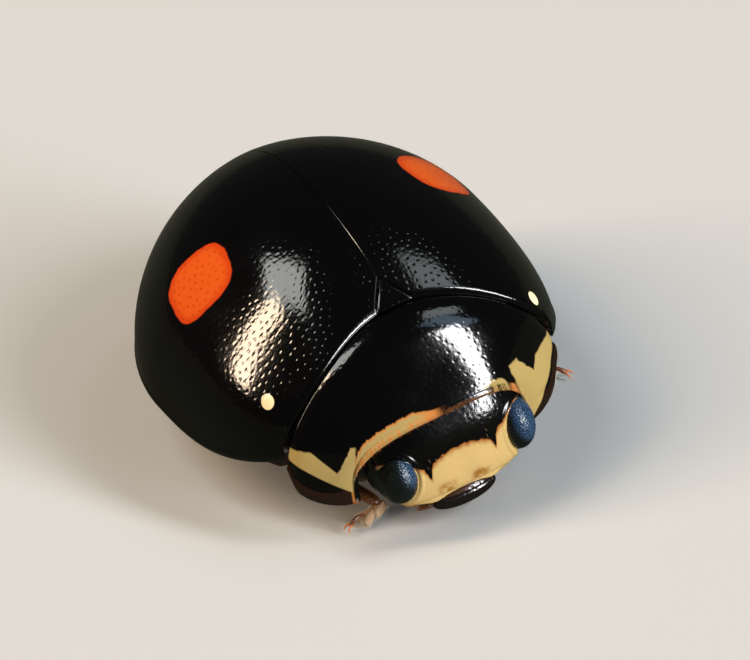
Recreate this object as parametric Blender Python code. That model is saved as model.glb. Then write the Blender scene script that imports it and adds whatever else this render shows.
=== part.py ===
"""Ladybird of the genus Hyperaspis, a still life-size model standing on its six feet.

Body coordinates: Y = 0 is the middle of the front edge of the wing cases and Z = 0 is the level of their
side edge. The head looks along -Y, the beetle's left side is +X and the floor is BODY_HEIGHT below.
One empty carries every sub-part and moves the body frame to the middle of its floor outline.
"""

import math

import bmesh
import bpy
from mathutils import Matrix, Vector

MM = 0.001
GAP = 0.02 * MM  # between pieces that touch in life
POLE = 1e-6  # a unit sphere's points nearer its axis than this are its poles

# Whole animal
HALF_WIDTH = 1.60 * MM
BODY_HEIGHT = 0.55 * MM  # floor to the side edge of the wing cases
TAIL_Y = 3.095 * MM
FACE_Y = -0.745 * MM  # the front of the upper lip

# Dome of the wing cases, which the pronotum carries on
CREST_Y = 1.445 * MM
DOME_HEIGHT = 1.505 * MM
DOME_POWER = 1.92
REAR_POWER = 1.87
FRONT_LENGTH = 2.035 * MM
FRONT_POWER = 2.59
SHOULDER_LIFT = 0.24 * MM  # the side edge rises towards the shoulders
LIFT_START_Y = 1.12 * MM
CASE_THICKNESS = 0.50 * MM
SHOULDER_X = 1.235 * MM  # where the front edge meets the side edge

# Scutellum, the small triangle between the wing cases
SCUTELLUM_WIDTH = 0.27 * MM
SCUTELLUM_LENGTH = 0.19 * MM
SCUTELLUM_DEPTH = 0.25 * MM

# Pronotum: an arch at its hind edge and a lower, squarer arch round the head
HIND_HALF_WIDTH = 1.23 * MM
HIND_TOP = 1.105 * MM
HIND_EDGE_Z = 0.18 * MM
HIND_MIDDLE_Y = 0.06 * MM
HIND_CORNER_Y = -0.17 * MM
HIND_ARCH_POWER = 1.95  # of the curve that each arch is drawn with: 2 is an ellipse, more is squarer
FRONT_HALF_WIDTH = 0.82 * MM
FRONT_TOP = 0.50 * MM
FRONT_EDGE_Z = -0.10 * MM
FRONT_MIDDLE_Y = -0.57 * MM
FRONT_CORNER_Y = -0.495 * MM
FRONT_ARCH_POWER = 3.7
NARROWING_POWER = 1.4  # how roundly the width, the top and the side edge change from arch to arch
FALLING_POWER = 1.5
SIDE_EDGE_POWER = 0.8
CORNER_POWER = 3

# Head, a boxy ellipsoid that leans so that its lower edge is in front
HEAD_CENTRE = Vector((0.0, -0.36, 0.13)) * MM
HEAD_HALF = Vector((0.70, 0.31, 0.48)) * MM
HEAD_SIDE_POWER = 2.2
HEAD_FACE_POWER = 3.2
HEAD_LEAN = math.tan(math.radians(12))
EYE_CENTRE = Vector((0.53, -0.46, 0.05)) * MM
EYE_HALF = Vector((0.22, 0.22, 0.255)) * MM

# Mouth and feelers
LIP_HALF = Vector((0.27, 0.055, 0.115)) * MM
LIP_Z = -0.35 * MM
PALP_RADIUS = 0.09 * MM
PALP_ENDS = ((0.38, -0.55, -0.44), (0.42, -0.38, -0.44))  # on the left side, in millimetres
FEELER_RADIUS = 0.11 * MM
FEELER_ENDS = ((0.50, -0.58, -0.28), (0.76, -0.43, -0.27))

# Underside
CORE_CLEARANCE = 0.07 * MM  # between the wing cases and the trunk
BELLY_DROP = 0.06 * MM
THORAX_FRONT_Y = 0.18 * MM
WAIST_Y = 1.42 * MM  # where the thorax meets the abdomen
PROSTERNUM_CENTRE = Vector((0.0, 0.0, -0.06)) * MM
PROSTERNUM_HALF = Vector((0.72, 0.14, 0.22)) * MM

# Legs
FEMUR_RADIUS = 0.20 * MM
KNEE_RADIUS = 0.18 * MM
TIBIA_RADIUS = 0.16 * MM
ANKLE_RADIUS = 0.13 * MM
FOOT_RADIUS = 0.155 * MM
HEEL_START = 0.07 * MM  # where the foot begins, ahead of the ankle's centre
TOE_REACH = 0.11 * MM  # of the foot past the toe's centre
TOE_ROUNDING = 0.06 * MM
JOINT_CLEARANCE = 0.05 * MM  # between a limb and the hollow end of the next one
ANKLE_HEIGHT = 0.15 * MM
FEMUR_Z = -0.29 * MM

# Centres of hip, knee, ankle and toe of each leg as seen from above, in millimetres, +X outwards. The right
# front, left middle and right hind legs reach forward together, as in a walking beetle's tripod.
LEG_PLANS = {
    "front_right": ((0.26, 0.40), (0.84, 0.38), (0.68, -0.02), (0.78, -0.15)),
    "front_left": ((0.26, 0.40), (0.86, 0.44), (0.76, 0.06), (0.92, -0.02)),
    "middle_right": ((0.30, 0.92), (0.90, 0.98), (1.02, 1.40), (1.20, 1.60)),
    "middle_left": ((0.30, 0.92), (0.92, 0.96), (1.20, 0.62), (1.44, 0.38)),
    "hind_right": ((0.30, 1.48), (0.68, 1.86), (0.92, 2.16), (1.08, 2.36)),
    "hind_left": ((0.30, 1.48), (0.66, 1.92), (0.76, 2.30), (0.90, 2.52)),
}

# Colour, roughness and metallic value of each finish
FINISHES = {
    "wing_case": ((0.015, 0.014, 0.015), 0.18, 0.0),
    "pronotum": ((0.020, 0.017, 0.016), 0.18, 0.0),
    "scutellum": ((0.015, 0.014, 0.015), 0.18, 0.0),
    "head": ((0.030, 0.024, 0.018), 0.25, 0.0),
    "eye": ((0.030, 0.034, 0.045), 0.15, 0.0),
    "mouthparts": ((0.060, 0.030, 0.015), 0.35, 0.0),
    "feeler": ((0.420, 0.200, 0.070), 0.45, 0.0),
    "underside": ((0.030, 0.018, 0.013), 0.45, 0.0),
    "leg": ((0.330, 0.140, 0.050), 0.40, 0.0),
}


def signed_power(value, power):
    return math.copysign(abs(value) ** power, value)


def mix(a, b, share):
    return a + (b - a) * share


# ---------------------------------------------------------------- scene


def clear_scene():
    for thing in list(bpy.data.objects):
        bpy.data.objects.remove(thing, do_unlink=True)


def new_collection(name):
    collection = bpy.data.collections.new(name)
    bpy.context.scene.collection.children.link(collection)
    return collection


def finish(name):
    """The Principled material of one finish, made on first use."""
    if name in bpy.data.materials:
        return bpy.data.materials[name]
    colour, roughness, metallic = FINISHES[name]
    material = bpy.data.materials.new(name)
    material.use_nodes = True
    shader = material.node_tree.nodes["Principled BSDF"]
    shader.inputs["Base Color"].default_value = (*colour, 1.0)
    shader.inputs["Roughness"].default_value = roughness
    shader.inputs["Metallic"].default_value = metallic
    material.diffuse_color = (*colour, 1.0)
    return material


class Ladybird:
    """The two collections and the empty that carries the sub-parts."""

    def __init__(self):
        self.parts = new_collection("ladybird")
        self.cutters = new_collection("cutters")
        self.frame = bpy.data.objects.new("body_frame", None)
        self.frame.location = (0, -(TAIL_Y + FACE_Y) / 2, BODY_HEIGHT)
        self.parts.objects.link(self.frame)

    def add(self, name, bm, finish_name, place=None):
        """Turns a bmesh into a sub-part, or into a cutter where there is no finish."""
        bmesh.ops.recalc_face_normals(bm, faces=bm.faces)
        if bm.calc_volume(signed=True) < 0:
            bmesh.ops.reverse_faces(bm, faces=bm.faces)
        mesh = bpy.data.meshes.new(name)
        bm.to_mesh(mesh)
        bm.free()
        mesh.shade_smooth()
        mesh.set_sharp_from_angle(angle=math.radians(40))
        thing = bpy.data.objects.new(name, mesh)
        if finish_name:
            mesh.materials.append(finish(finish_name))
            self.parts.objects.link(thing)
        else:
            thing.hide_render = True
            thing.display_type = "WIRE"
            self.cutters.objects.link(thing)
        thing.parent = self.frame
        if place:
            thing.location, thing.rotation_euler = place
        return thing


def cut(thing, *cutters):
    for cutter in cutters:
        boolean = thing.modifiers.new(cutter.name, "BOOLEAN")
        boolean.operation = "DIFFERENCE"
        boolean.solver = "EXACT"
        boolean.object = cutter


def weld_cuts(parts):
    """Closes the shortest edges that the cuts leave."""
    for thing in parts:
        if thing.modifiers:
            weld = thing.modifiers.new("short_edges", "WELD")
            weld.merge_threshold = GAP / 5


# ---------------------------------------------------------------- wing cases


def edge_lift(y):
    share = max(0.0, (LIFT_START_Y - y) / LIFT_START_Y)
    return SHOULDER_LIFT * share**2


def dome_height(x, y):
    """Height of the dome over a point of the floor plan."""
    behind = y > CREST_Y
    power = REAR_POWER if behind else FRONT_POWER
    length = TAIL_Y - CREST_Y if behind else FRONT_LENGTH
    share = (abs(x / HALF_WIDTH) ** power + abs((y - CREST_Y) / length) ** power) ** (1 / power)
    share = min(share, 1.0)
    return DOME_HEIGHT * (1 - share**2) ** (1 / DOME_POWER) + edge_lift(y) * share**4


def side_edge(angle):
    """Point of the dome's outline, from angle 0 at the tail to pi at the front."""
    behind = math.cos(angle) > 0
    power = 2 / (REAR_POWER if behind else FRONT_POWER)
    length = TAIL_Y - CREST_Y if behind else FRONT_LENGTH
    return HALF_WIDTH * math.sin(angle) ** power, CREST_Y + length * signed_power(math.cos(angle), power)


def pronotum_hind_y(x):
    share = min(abs(x) / HIND_HALF_WIDTH, 1.0)
    return mix(HIND_MIDDLE_Y, HIND_CORNER_Y, (1 - math.cos(math.pi * share)) / 2)


def case_front_y(x):
    """Front edge of a wing case: it follows the pronotum, and leaves a notch for the scutellum."""
    notch_half = SCUTELLUM_WIDTH / 2 + 2 * GAP
    notch = (SCUTELLUM_LENGTH + GAP) * max(0.0, 1 - abs(x) / notch_half)
    return pronotum_hind_y(x) + 2 * GAP + notch


def case_outline(share):
    """Outline of one wing case: share 0 at the tail, 0.75 at the shoulder and 1 at the scutellum."""
    shoulder = math.pi - math.asin((SHOULDER_X / HALF_WIDTH) ** (FRONT_POWER / 2))
    if share <= 0.75:
        return side_edge(shoulder * share / 0.75)
    x = SHOULDER_X * (1 - share) / 0.25
    blend = min(1.0, (share - 0.75) / 0.05)
    shoulder_y = side_edge(shoulder)[1]
    return x, mix(shoulder_y, case_front_y(x), blend)


def case_point(a, b):
    """Maps a half square, a from 0 to 1 and b from -1 to 1, on to the wing case as rings round the crest."""
    ring = max(a, abs(b))
    if ring == 0:
        x, y = 0.0, 0.0
    elif b == ring and a <= b:
        x, y = case_outline(a / (4 * ring))
    elif a == ring:
        x, y = case_outline((2 * ring - b) / (4 * ring))
    else:
        x, y = case_outline((4 * ring - a) / (4 * ring))
    spread = math.sin(ring * math.pi / 2) if ring else 0.0
    x = x * spread
    y = CREST_Y + (y - CREST_Y) * spread if ring else CREST_Y
    return Vector((x, y, dome_height(x, y)))


def wing_case(model, name, side, rings=12):
    bm = bmesh.new()
    bmesh.ops.create_grid(bm, x_segments=rings, y_segments=2 * rings, size=1.0)
    for v in bm.verts:
        v.co = case_point(round((v.co.x + 1) / 2, 6), round(v.co.y, 6))
    bmesh.ops.remove_doubles(bm, verts=bm.verts, dist=GAP / 10)
    bmesh.ops.recalc_face_normals(bm, faces=bm.faces)
    if sum(f.normal.z for f in bm.faces) < 0:
        bmesh.ops.reverse_faces(bm, faces=bm.faces)
    bmesh.ops.solidify(bm, geom=bm.faces[:], thickness=CASE_THICKNESS)
    for v in bm.verts:
        v.co.x = side * max(v.co.x, GAP / 2)
    return model.add(name, bm, "wing_case")


def scutellum(model):
    """A three-sided prism whose top lies in the slope of the dome."""
    bm = bmesh.new()
    bmesh.ops.create_cone(
        bm, cap_ends=True, segments=3, radius1=1.0, radius2=1.0, depth=SCUTELLUM_DEPTH
    )
    ys = [v.co.y for v in bm.verts]
    xs = [v.co.x for v in bm.verts]
    for v in bm.verts:
        v.co.x *= SCUTELLUM_WIDTH / (max(xs) - min(xs))
        v.co.y = (v.co.y - min(ys)) * SCUTELLUM_LENGTH / (max(ys) - min(ys))
        v.co.z -= SCUTELLUM_DEPTH / 2
    start = Vector((0, case_front_y(SCUTELLUM_WIDTH) + GAP, 0))
    start.z = dome_height(0, start.y)
    end = Vector((0, start.y + SCUTELLUM_LENGTH, 0))
    end.z = dome_height(0, end.y)
    slope = math.atan2(end.z - start.z, end.y - start.y)
    return model.add("scutellum", bm, "scutellum", (start, (slope, 0, 0)))


# ---------------------------------------------------------------- pronotum and head


def pronotum_point(across, ahead, grow):
    """Top of the pronotum: across from -1 to 1, ahead from 0 at the hind edge to 1 at the head."""
    angle = across * math.pi / 2
    rounded = math.sqrt(1 - ahead**2)
    half = mix(FRONT_HALF_WIDTH, HIND_HALF_WIDTH, rounded**NARROWING_POWER) + grow
    low = mix(HIND_EDGE_Z, FRONT_EDGE_Z, ahead**SIDE_EDGE_POWER) - grow
    high = mix(FRONT_TOP, HIND_TOP, rounded**FALLING_POWER) + grow
    power = 2 / mix(HIND_ARCH_POWER, FRONT_ARCH_POWER, ahead**2)
    x_share = signed_power(math.sin(angle), power)
    z_share = math.cos(angle) ** power if abs(across) < 1 else 0.0
    hind_y = pronotum_hind_y(x_share * HIND_HALF_WIDTH)
    front_y = mix(FRONT_MIDDLE_Y, FRONT_CORNER_Y, abs(x_share) ** CORNER_POWER)
    y = mix(hind_y, front_y, ahead) + grow * (1 - 2 * ahead)
    return Vector((half * x_share, y, mix(low, high, z_share))), low


def pronotum_body(grow=0.0, across=18, along=7):
    """The space under the pronotum's arch, down to the level of its side edge."""
    bm = bmesh.new()
    under = bm.verts.layers.float.new("under")
    bmesh.ops.create_grid(bm, x_segments=across, y_segments=along, size=1.0)
    for v in bm.verts:
        v.co, v[under] = pronotum_point(round(v.co.x, 6), round((v.co.y + 1) / 2, 6), grow)
    low = bmesh.ops.extrude_face_region(bm, geom=bm.faces[:])["geom"]
    for v in low:
        if isinstance(v, bmesh.types.BMVert):
            v.co.z = v[under]
    bmesh.ops.remove_doubles(bm, verts=bm.verts, dist=GAP / 10)
    return bm


def ellipsoid(half, grow=0.0, segments=16, rings=10):
    bm = bmesh.new()
    bmesh.ops.create_uvsphere(bm, u_segments=segments, v_segments=rings, radius=1.0)
    for v in bm.verts:
        v.co = Vector(v.co[i] * (half[i] + grow) for i in range(3))
    return bm


def head_body(grow=0.0, segments=24, rings=14):
    """The head capsule round its own centre."""
    bm = bmesh.new()
    bmesh.ops.create_uvsphere(bm, u_segments=segments, v_segments=rings, radius=1.0)
    for v in bm.verts:
        ring = math.hypot(v.co.y, v.co.z)
        squarish = (abs(v.co.y) ** HEAD_FACE_POWER + abs(v.co.z) ** HEAD_FACE_POWER) ** (1 / HEAD_FACE_POWER)
        reach = ring ** (2 / HEAD_SIDE_POWER) / squarish if ring > POLE else 0.0
        v.co.x = signed_power(v.co.x, 2 / HEAD_SIDE_POWER) * (HEAD_HALF.x + grow)
        v.co.z = v.co.z * reach * (HEAD_HALF.z + grow)
        v.co.y = v.co.y * reach * (HEAD_HALF.y + grow) + v.co.z * HEAD_LEAN
    return bm


def front_of_body(model):
    """Head, eyes and pronotum, each cut clear of the piece that sits in it."""
    still = (0, 0, 0)
    socket = model.add("head_socket", head_body(GAP), None, (HEAD_CENTRE, still))
    head = model.add("head", head_body(), "head", (HEAD_CENTRE, still))
    pronotum = model.add("pronotum", pronotum_body(), "pronotum")
    cut(pronotum, socket)
    for side_name, side in (("left", 1), ("right", -1)):
        centre = Vector((side * EYE_CENTRE.x, EYE_CENTRE.y, EYE_CENTRE.z))
        model.add(f"eye_{side_name}", ellipsoid(EYE_HALF), "eye", (centre, still))
        eye_socket = model.add(f"eye_socket_{side_name}", ellipsoid(EYE_HALF, GAP), None, (centre, still))
        cut(head, eye_socket)
        cut(pronotum, eye_socket)
    return socket


def lip_and_feelers(model):
    """Upper lip, palps and feelers, in front of the head and below it."""
    lip_centre = Vector((0, FACE_Y + LIP_HALF.y, LIP_Z))
    lip_shape = ellipsoid(LIP_HALF, segments=14, rings=8)
    lip = model.add("labrum", lip_shape, "mouthparts", (lip_centre, (0, 0, 0)))
    cut(lip, bpy.data.objects["head_socket"])
    for side_name, side in (("left", 1), ("right", -1)):
        for name, ends, radius, finish_name in (
            ("palp", PALP_ENDS, PALP_RADIUS, "mouthparts"),
            ("antenna", FEELER_ENDS, FEELER_RADIUS, "feeler"),
        ):
            start, end = (Vector((side * x, y, z)) * MM for x, y, z in ends)
            limb(model, f"{name}_{side_name}", start, end, radius, radius, finish_name)


# ---------------------------------------------------------------- underside


def trunk_body():
    """The trunk under the wing cases: a smaller dome with a shallow belly."""
    inset = CASE_THICKNESS + CORE_CLEARANCE
    bm = bmesh.new()
    bmesh.ops.create_uvsphere(bm, u_segments=28, v_segments=14, radius=1.0)
    for v in bm.verts:
        flat = math.hypot(v.co.x, v.co.y)
        x, y = (v.co.x / flat, v.co.y / flat) if flat > POLE else (0.0, 0.0)
        behind = y > 0
        power = 2 / (REAR_POWER if behind else FRONT_POWER)
        length = TAIL_Y - CREST_Y if behind else FRONT_LENGTH
        height = (DOME_HEIGHT - inset) if v.co.z > 0 else BELLY_DROP
        v.co.x = flat * (HALF_WIDTH - inset) * signed_power(x, power)
        v.co.y = CREST_Y + flat * (length - inset) * signed_power(y, power)
        v.co.z = v.co.z * height
    return bm


def keep_between(bm, front_y, rear_y):
    """Cuts a closed mesh by two upright planes across the body and caps the cuts."""
    for y, direction in ((front_y, -1), (rear_y, 1)):
        geometry = bm.verts[:] + bm.edges[:] + bm.faces[:]
        done = bmesh.ops.bisect_plane(
            bm, geom=geometry, dist=GAP / 20, plane_co=(0, y, 0), plane_no=(0, direction, 0), clear_outer=True
        )
        edges = [e for e in done["geom_cut"] if isinstance(e, bmesh.types.BMEdge)]
        bmesh.ops.contextual_create(bm, geom=edges)
    return bm


def underside(model, head_socket):
    """Prosternum, thorax and abdomen."""
    model.add("thorax", keep_between(trunk_body(), THORAX_FRONT_Y, WAIST_Y - GAP / 2), "underside")
    model.add("abdomen", keep_between(trunk_body(), WAIST_Y + GAP / 2, TAIL_Y), "underside")
    plate = ellipsoid(PROSTERNUM_HALF, segments=14, rings=8)
    prosternum = model.add("prosternum", plate, "underside", (PROSTERNUM_CENTRE, (0, 0, 0)))
    pronotum_space = model.add("pronotum_space", pronotum_body(GAP), None)
    cut(prosternum, head_socket, pronotum_space)


# ---------------------------------------------------------------- legs


def capsule(length, start_radius, end_radius, segments=8, rings=8):
    """A rounded limb along +Z, with the centre of its first round end at zero."""
    bm = bmesh.new()
    bmesh.ops.create_uvsphere(bm, u_segments=segments, v_segments=rings, radius=1.0)
    for v in bm.verts:
        outer = v.co.z > POLE
        v.co = v.co * (end_radius if outer else start_radius)
        v.co.z += length if outer else 0.0
    return bm


def limb(model, name, start, end, start_radius, end_radius, finish_name):
    direction = end - start
    turn = direction.to_track_quat("Z", "Y").to_euler()
    grow = 0.0 if finish_name else JOINT_CLEARANCE
    bm = capsule(direction.length, start_radius + grow, end_radius + grow)
    return model.add(name, bm, finish_name, (start, turn))


def foot(model, name, ankle, toe, sides=8):
    """A many-sided foot along the floor, flat under its sole and rounded at the toe."""
    direction = (toe - ankle) * Vector((1, 1, 0))
    length = direction.length + TOE_REACH - HEEL_START
    bm = bmesh.new()
    bmesh.ops.create_cone(
        bm, cap_ends=True, segments=sides, radius1=FOOT_RADIUS, radius2=FOOT_RADIUS, depth=length
    )
    toe_edges = [e for e in bm.edges if min(v.co.z for v in e.verts) > 0]
    bmesh.ops.bevel(bm, geom=toe_edges, offset=TOE_ROUNDING, segments=2, profile=0.5, affect="EDGES")
    sole_down = Matrix.Rotation(math.pi / sides, 3, "Z")
    bmesh.ops.rotate(bm, verts=bm.verts, matrix=sole_down)
    for v in bm.verts:
        v.co = Vector((v.co.x, v.co.z + length / 2 + HEEL_START, v.co.y))
    heel = Vector((ankle.x, ankle.y, FOOT_RADIUS * math.cos(math.pi / sides) - BODY_HEIGHT))
    turn = math.atan2(-direction.x, direction.y)
    return model.add(name, bm, "leg", (heel, (0, 0, turn)))


def leg(model, name, plan):
    """Femur, tibia and foot, where each joint is cut hollow to sit against the one before."""
    side = -1 if name.endswith("right") else 1
    ankle_z = ANKLE_HEIGHT - BODY_HEIGHT
    heights = (FEMUR_Z, FEMUR_Z, ankle_z, ankle_z)
    hip, knee, ankle, toe = (Vector((side * x * MM, y * MM, z)) for (x, y), z in zip(plan, heights))
    limb(model, f"femur_{name}", hip, knee, FEMUR_RADIUS, KNEE_RADIUS, "leg")
    knee_space = limb(model, f"knee_space_{name}", hip, knee, FEMUR_RADIUS, KNEE_RADIUS, None)
    tibia = limb(model, f"tibia_{name}", knee, ankle, TIBIA_RADIUS, ANKLE_RADIUS, "leg")
    cut(tibia, knee_space)
    ankle_space = limb(model, f"ankle_space_{name}", knee, ankle, TIBIA_RADIUS, ANKLE_RADIUS, None)
    cut(foot(model, f"tarsus_{name}", ankle, toe), ankle_space)


def build():
    clear_scene()
    model = Ladybird()
    wing_case(model, "elytron_left", 1)
    wing_case(model, "elytron_right", -1)
    scutellum(model)
    head_socket = front_of_body(model)
    lip_and_feelers(model)
    underside(model, head_socket)
    for name, plan in LEG_PLANS.items():
        leg(model, name, plan)
    weld_cuts(model.parts.objects)


build()
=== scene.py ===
import math

import bmesh
import bpy
import numpy as np
from mathutils import Matrix, Vector


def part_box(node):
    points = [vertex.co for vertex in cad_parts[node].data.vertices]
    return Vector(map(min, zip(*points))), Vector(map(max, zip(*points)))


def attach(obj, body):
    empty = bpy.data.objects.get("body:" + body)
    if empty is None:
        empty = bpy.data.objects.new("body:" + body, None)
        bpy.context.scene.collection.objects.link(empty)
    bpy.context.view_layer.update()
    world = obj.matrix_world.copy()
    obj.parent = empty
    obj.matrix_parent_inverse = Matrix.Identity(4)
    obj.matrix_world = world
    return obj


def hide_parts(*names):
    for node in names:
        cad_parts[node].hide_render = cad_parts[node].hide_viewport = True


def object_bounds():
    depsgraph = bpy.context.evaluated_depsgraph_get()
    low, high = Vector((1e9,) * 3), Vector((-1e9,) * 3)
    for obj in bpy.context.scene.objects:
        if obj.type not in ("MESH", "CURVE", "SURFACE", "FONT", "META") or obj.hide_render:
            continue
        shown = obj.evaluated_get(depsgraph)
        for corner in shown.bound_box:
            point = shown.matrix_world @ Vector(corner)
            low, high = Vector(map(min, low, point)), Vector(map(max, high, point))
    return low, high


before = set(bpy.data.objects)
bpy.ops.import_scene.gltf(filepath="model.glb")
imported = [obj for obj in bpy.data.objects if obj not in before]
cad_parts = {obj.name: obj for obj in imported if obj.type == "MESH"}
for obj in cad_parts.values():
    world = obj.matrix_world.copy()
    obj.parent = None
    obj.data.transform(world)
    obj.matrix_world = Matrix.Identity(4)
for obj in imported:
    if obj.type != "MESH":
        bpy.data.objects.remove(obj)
cadLow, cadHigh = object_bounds()
mm = 0.001


# Numbers

def mix(a, b, share):
    return a + (b - a) * share


def smooth(low, high, value):
    t = np.clip((value - low) / (high - low), 0, 1)
    return t * t * (3 - 2 * t)


def between(value, stretch):
    # 1 in the middle of a stretch that is given by where it starts, is full, begins to fade and ends
    start, full, fading, end = stretch
    return smooth(start, full, value) * smooth(end, fading, value)


def hill(value, middle, breadth):
    # 1 at the middle and falling away on both sides
    return np.exp(-((value - middle) / breadth) ** 2)


def signedPower(value, power):
    return np.sign(value) * np.abs(value) ** power


def unit(vectors):
    length = np.linalg.norm(vectors, axis=-1, keepdims=True)
    return vectors / np.maximum(length, 1e-12)


def grid(rows, columns):
    # u changes from column to column and v from row to row
    v, u = np.meshgrid(rows, columns, indexing="ij")
    return u, v


def roundEnds(t, power):
    # 1 along a limb and falling to 0 at both of its ends, more sharply at a higher power
    return np.sqrt(np.clip(1 - (np.abs(t - 0.5) / 0.5) ** power, 0, 1))


def curvePath(stops, count):
    # a smooth path through a few stops
    stops = np.asarray(stops, float)
    steps = np.linspace(0, len(stops) - 1, count)
    padded = np.vstack((2 * stops[0] - stops[1], stops, 2 * stops[-1] - stops[-2]))
    i = np.minimum(steps.astype(int), len(stops) - 2)
    t = (steps - i)[:, None]
    a, b, c, d = padded[i], padded[i + 1], padded[i + 2], padded[i + 3]
    return 0.5 * (2 * b + (c - a) * t + (2 * a - 5 * b + 4 * c - d) * t**2 + (3 * b - a - 3 * c + d) * t**3)


# Meshes

def linkObject(name, data):
    thing = bpy.data.objects.new(name, data)
    bpy.context.scene.collection.objects.link(thing)
    return thing


def gridFaces(rows, columns, closed=False):
    # quads of a grid of points that are numbered row by row; closed joins the last column to the first
    i = np.arange(rows - 1)
    j = np.arange(columns if closed else columns - 1)
    i, j = (part.ravel() for part in np.meshgrid(i, j, indexing="ij"))
    k, m = i + 1, (j + 1) % columns
    return np.stack((i * columns + j, i * columns + m, k * columns + m, k * columns + j), 1)


def plateFaces(rows, columns):
    # a grid, a second one below it that faces down, and the wall between their rims
    number = np.arange(rows * columns).reshape(rows, columns)
    rim = np.concatenate((number[0, :-1], number[:-1, -1], number[-1, :0:-1], number[:0:-1, 0]))
    after = np.roll(rim, -1)
    total = rows * columns
    wall = np.stack((rim, after, after + total, rim + total), 1)
    top = gridFaces(rows, columns)
    return np.concatenate((top, top[:, ::-1] + total, wall))


def makePiece(name, points, faces, uv, attributes=None):
    # a closed mesh from points in body coordinates, with its doubles merged and its faces outwards
    mesh = bpy.data.meshes.new(name)
    world = np.asarray(points, float).reshape(-1, 3) * mm + bodyOrigin
    mesh.from_pydata(world.tolist(), [], [list(face) for face in faces])
    layer = mesh.uv_layers.new(name="skin")
    corners = np.zeros(len(mesh.loops), np.int32)
    mesh.loops.foreach_get("vertex_index", corners)
    layer.data.foreach_set("uv", np.asarray(uv, np.float32).reshape(-1, 2)[corners].ravel())
    for label, values in (attributes or {}).items():
        stored = mesh.attributes.new(label, "FLOAT", "POINT")
        stored.data.foreach_set("value", np.ravel(values).astype(np.float32))
    bm = bmesh.new()
    bm.from_mesh(mesh)
    bmesh.ops.remove_doubles(bm, verts=bm.verts, dist=1e-8)
    bmesh.ops.dissolve_degenerate(bm, edges=bm.edges, dist=1e-9)
    bmesh.ops.recalc_face_normals(bm, faces=bm.faces)
    if bm.calc_volume(signed=True) < 0:
        bmesh.ops.reverse_faces(bm, faces=bm.faces)
    bm.to_mesh(mesh)
    bm.free()
    mesh.shade_smooth()
    return linkObject(name, mesh)


def joinPieces(name, things):
    # one object from several, each keeping its own materials and maps
    bpy.ops.object.select_all(action="DESELECT")
    for thing in things:
        thing.select_set(True)
    bpy.context.view_layer.objects.active = things[0]
    bpy.ops.object.join()
    things[0].name = name
    things[0].data.name = name
    return things[0]


def sweep(name, path, wide, tall, sides, attributes=None):
    # a closed limb along a path, with its half widths sideways and upwards at each point
    path, wide, tall = (np.asarray(values, float) for values in (path, wide, tall))
    ahead = unit(np.gradient(path, axis=0))
    aside = unit(np.cross(np.array((0.0, 0.0, 1.0)), ahead))
    above = np.cross(ahead, aside)
    angle = np.linspace(0, 2 * math.pi, sides, endpoint=False)
    rim = aside[:, None] * (wide[:, None] * np.cos(angle))[..., None]
    rim = rim + above[:, None] * (tall[:, None] * np.sin(angle))[..., None]
    share = np.linspace(0, 1, len(path))
    uv = np.stack(np.broadcast_arrays(angle[None] / (2 * math.pi), share[:, None]), -1)
    return makePiece(name, path[:, None] + rim, gridFaces(len(path), sides, closed=True), uv, attributes)


def gridNormals(points):
    # outward where the rows run backwards seen with the columns to the right
    across = np.gradient(points, axis=1)
    along = np.gradient(points, axis=0)
    return unit(np.cross(along, across))


def slab(name, points, thickness, attributes, uv=None):
    # a plate from a grid of points, closed by the same grid sunk along its normals
    rows, columns, _ = points.shape
    depth = np.broadcast_to(np.asarray(thickness, float), (rows, columns))
    under = points - gridNormals(points) * depth[..., None]
    if uv is None:
        uv = np.stack(grid(np.linspace(0, 1, rows), np.linspace(0, 1, columns)), -1)
    both = {}
    for label, values in attributes.items():
        both[label] = np.concatenate((values.ravel(), 0 * values.ravel()))
    everything = np.concatenate((points.reshape(-1, 3), under.reshape(-1, 3)))
    maps = np.concatenate((uv.reshape(-1, 2), uv.reshape(-1, 2)))
    return makePiece(name, everything, plateFaces(rows, columns), maps, both)


def lump(name, centre, half, powers, rows, columns, shape=None, attributes=None):
    # a rounded body from rings round its X axis; powers above 2 square it off lengthwise and across
    turn = np.linspace(0, math.pi, rows)[:, None]
    around = np.linspace(0, 2 * math.pi, columns, endpoint=False)[None]
    vx = np.cos(turn) + 0 * around
    vy = -np.sin(turn) * np.cos(around)
    vz = np.sin(turn) * np.sin(around)
    ring = np.hypot(vy, vz)
    squareness = powers[1](vz) if callable(powers[1]) else powers[1]
    across = (np.abs(vy) ** squareness + np.abs(vz) ** squareness) ** (1 / squareness)
    reach = np.where(ring > 1e-9, ring ** (2 / powers[0]) / np.maximum(across, 1e-9), 0)
    x = signedPower(vx, 2 / powers[0]) * half[0]
    points = np.stack((x, vy * reach * half[1], vz * reach * half[2]), -1)
    if shape:
        points = shape(points)
    points = points + np.asarray(centre)
    uv = np.stack(np.broadcast_arrays(around / (2 * math.pi), turn / math.pi), -1)
    faces = gridFaces(rows, columns, closed=True)
    return makePiece(name, points, faces, uv, attributes(points) if attributes else None)


# Node trees

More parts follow.
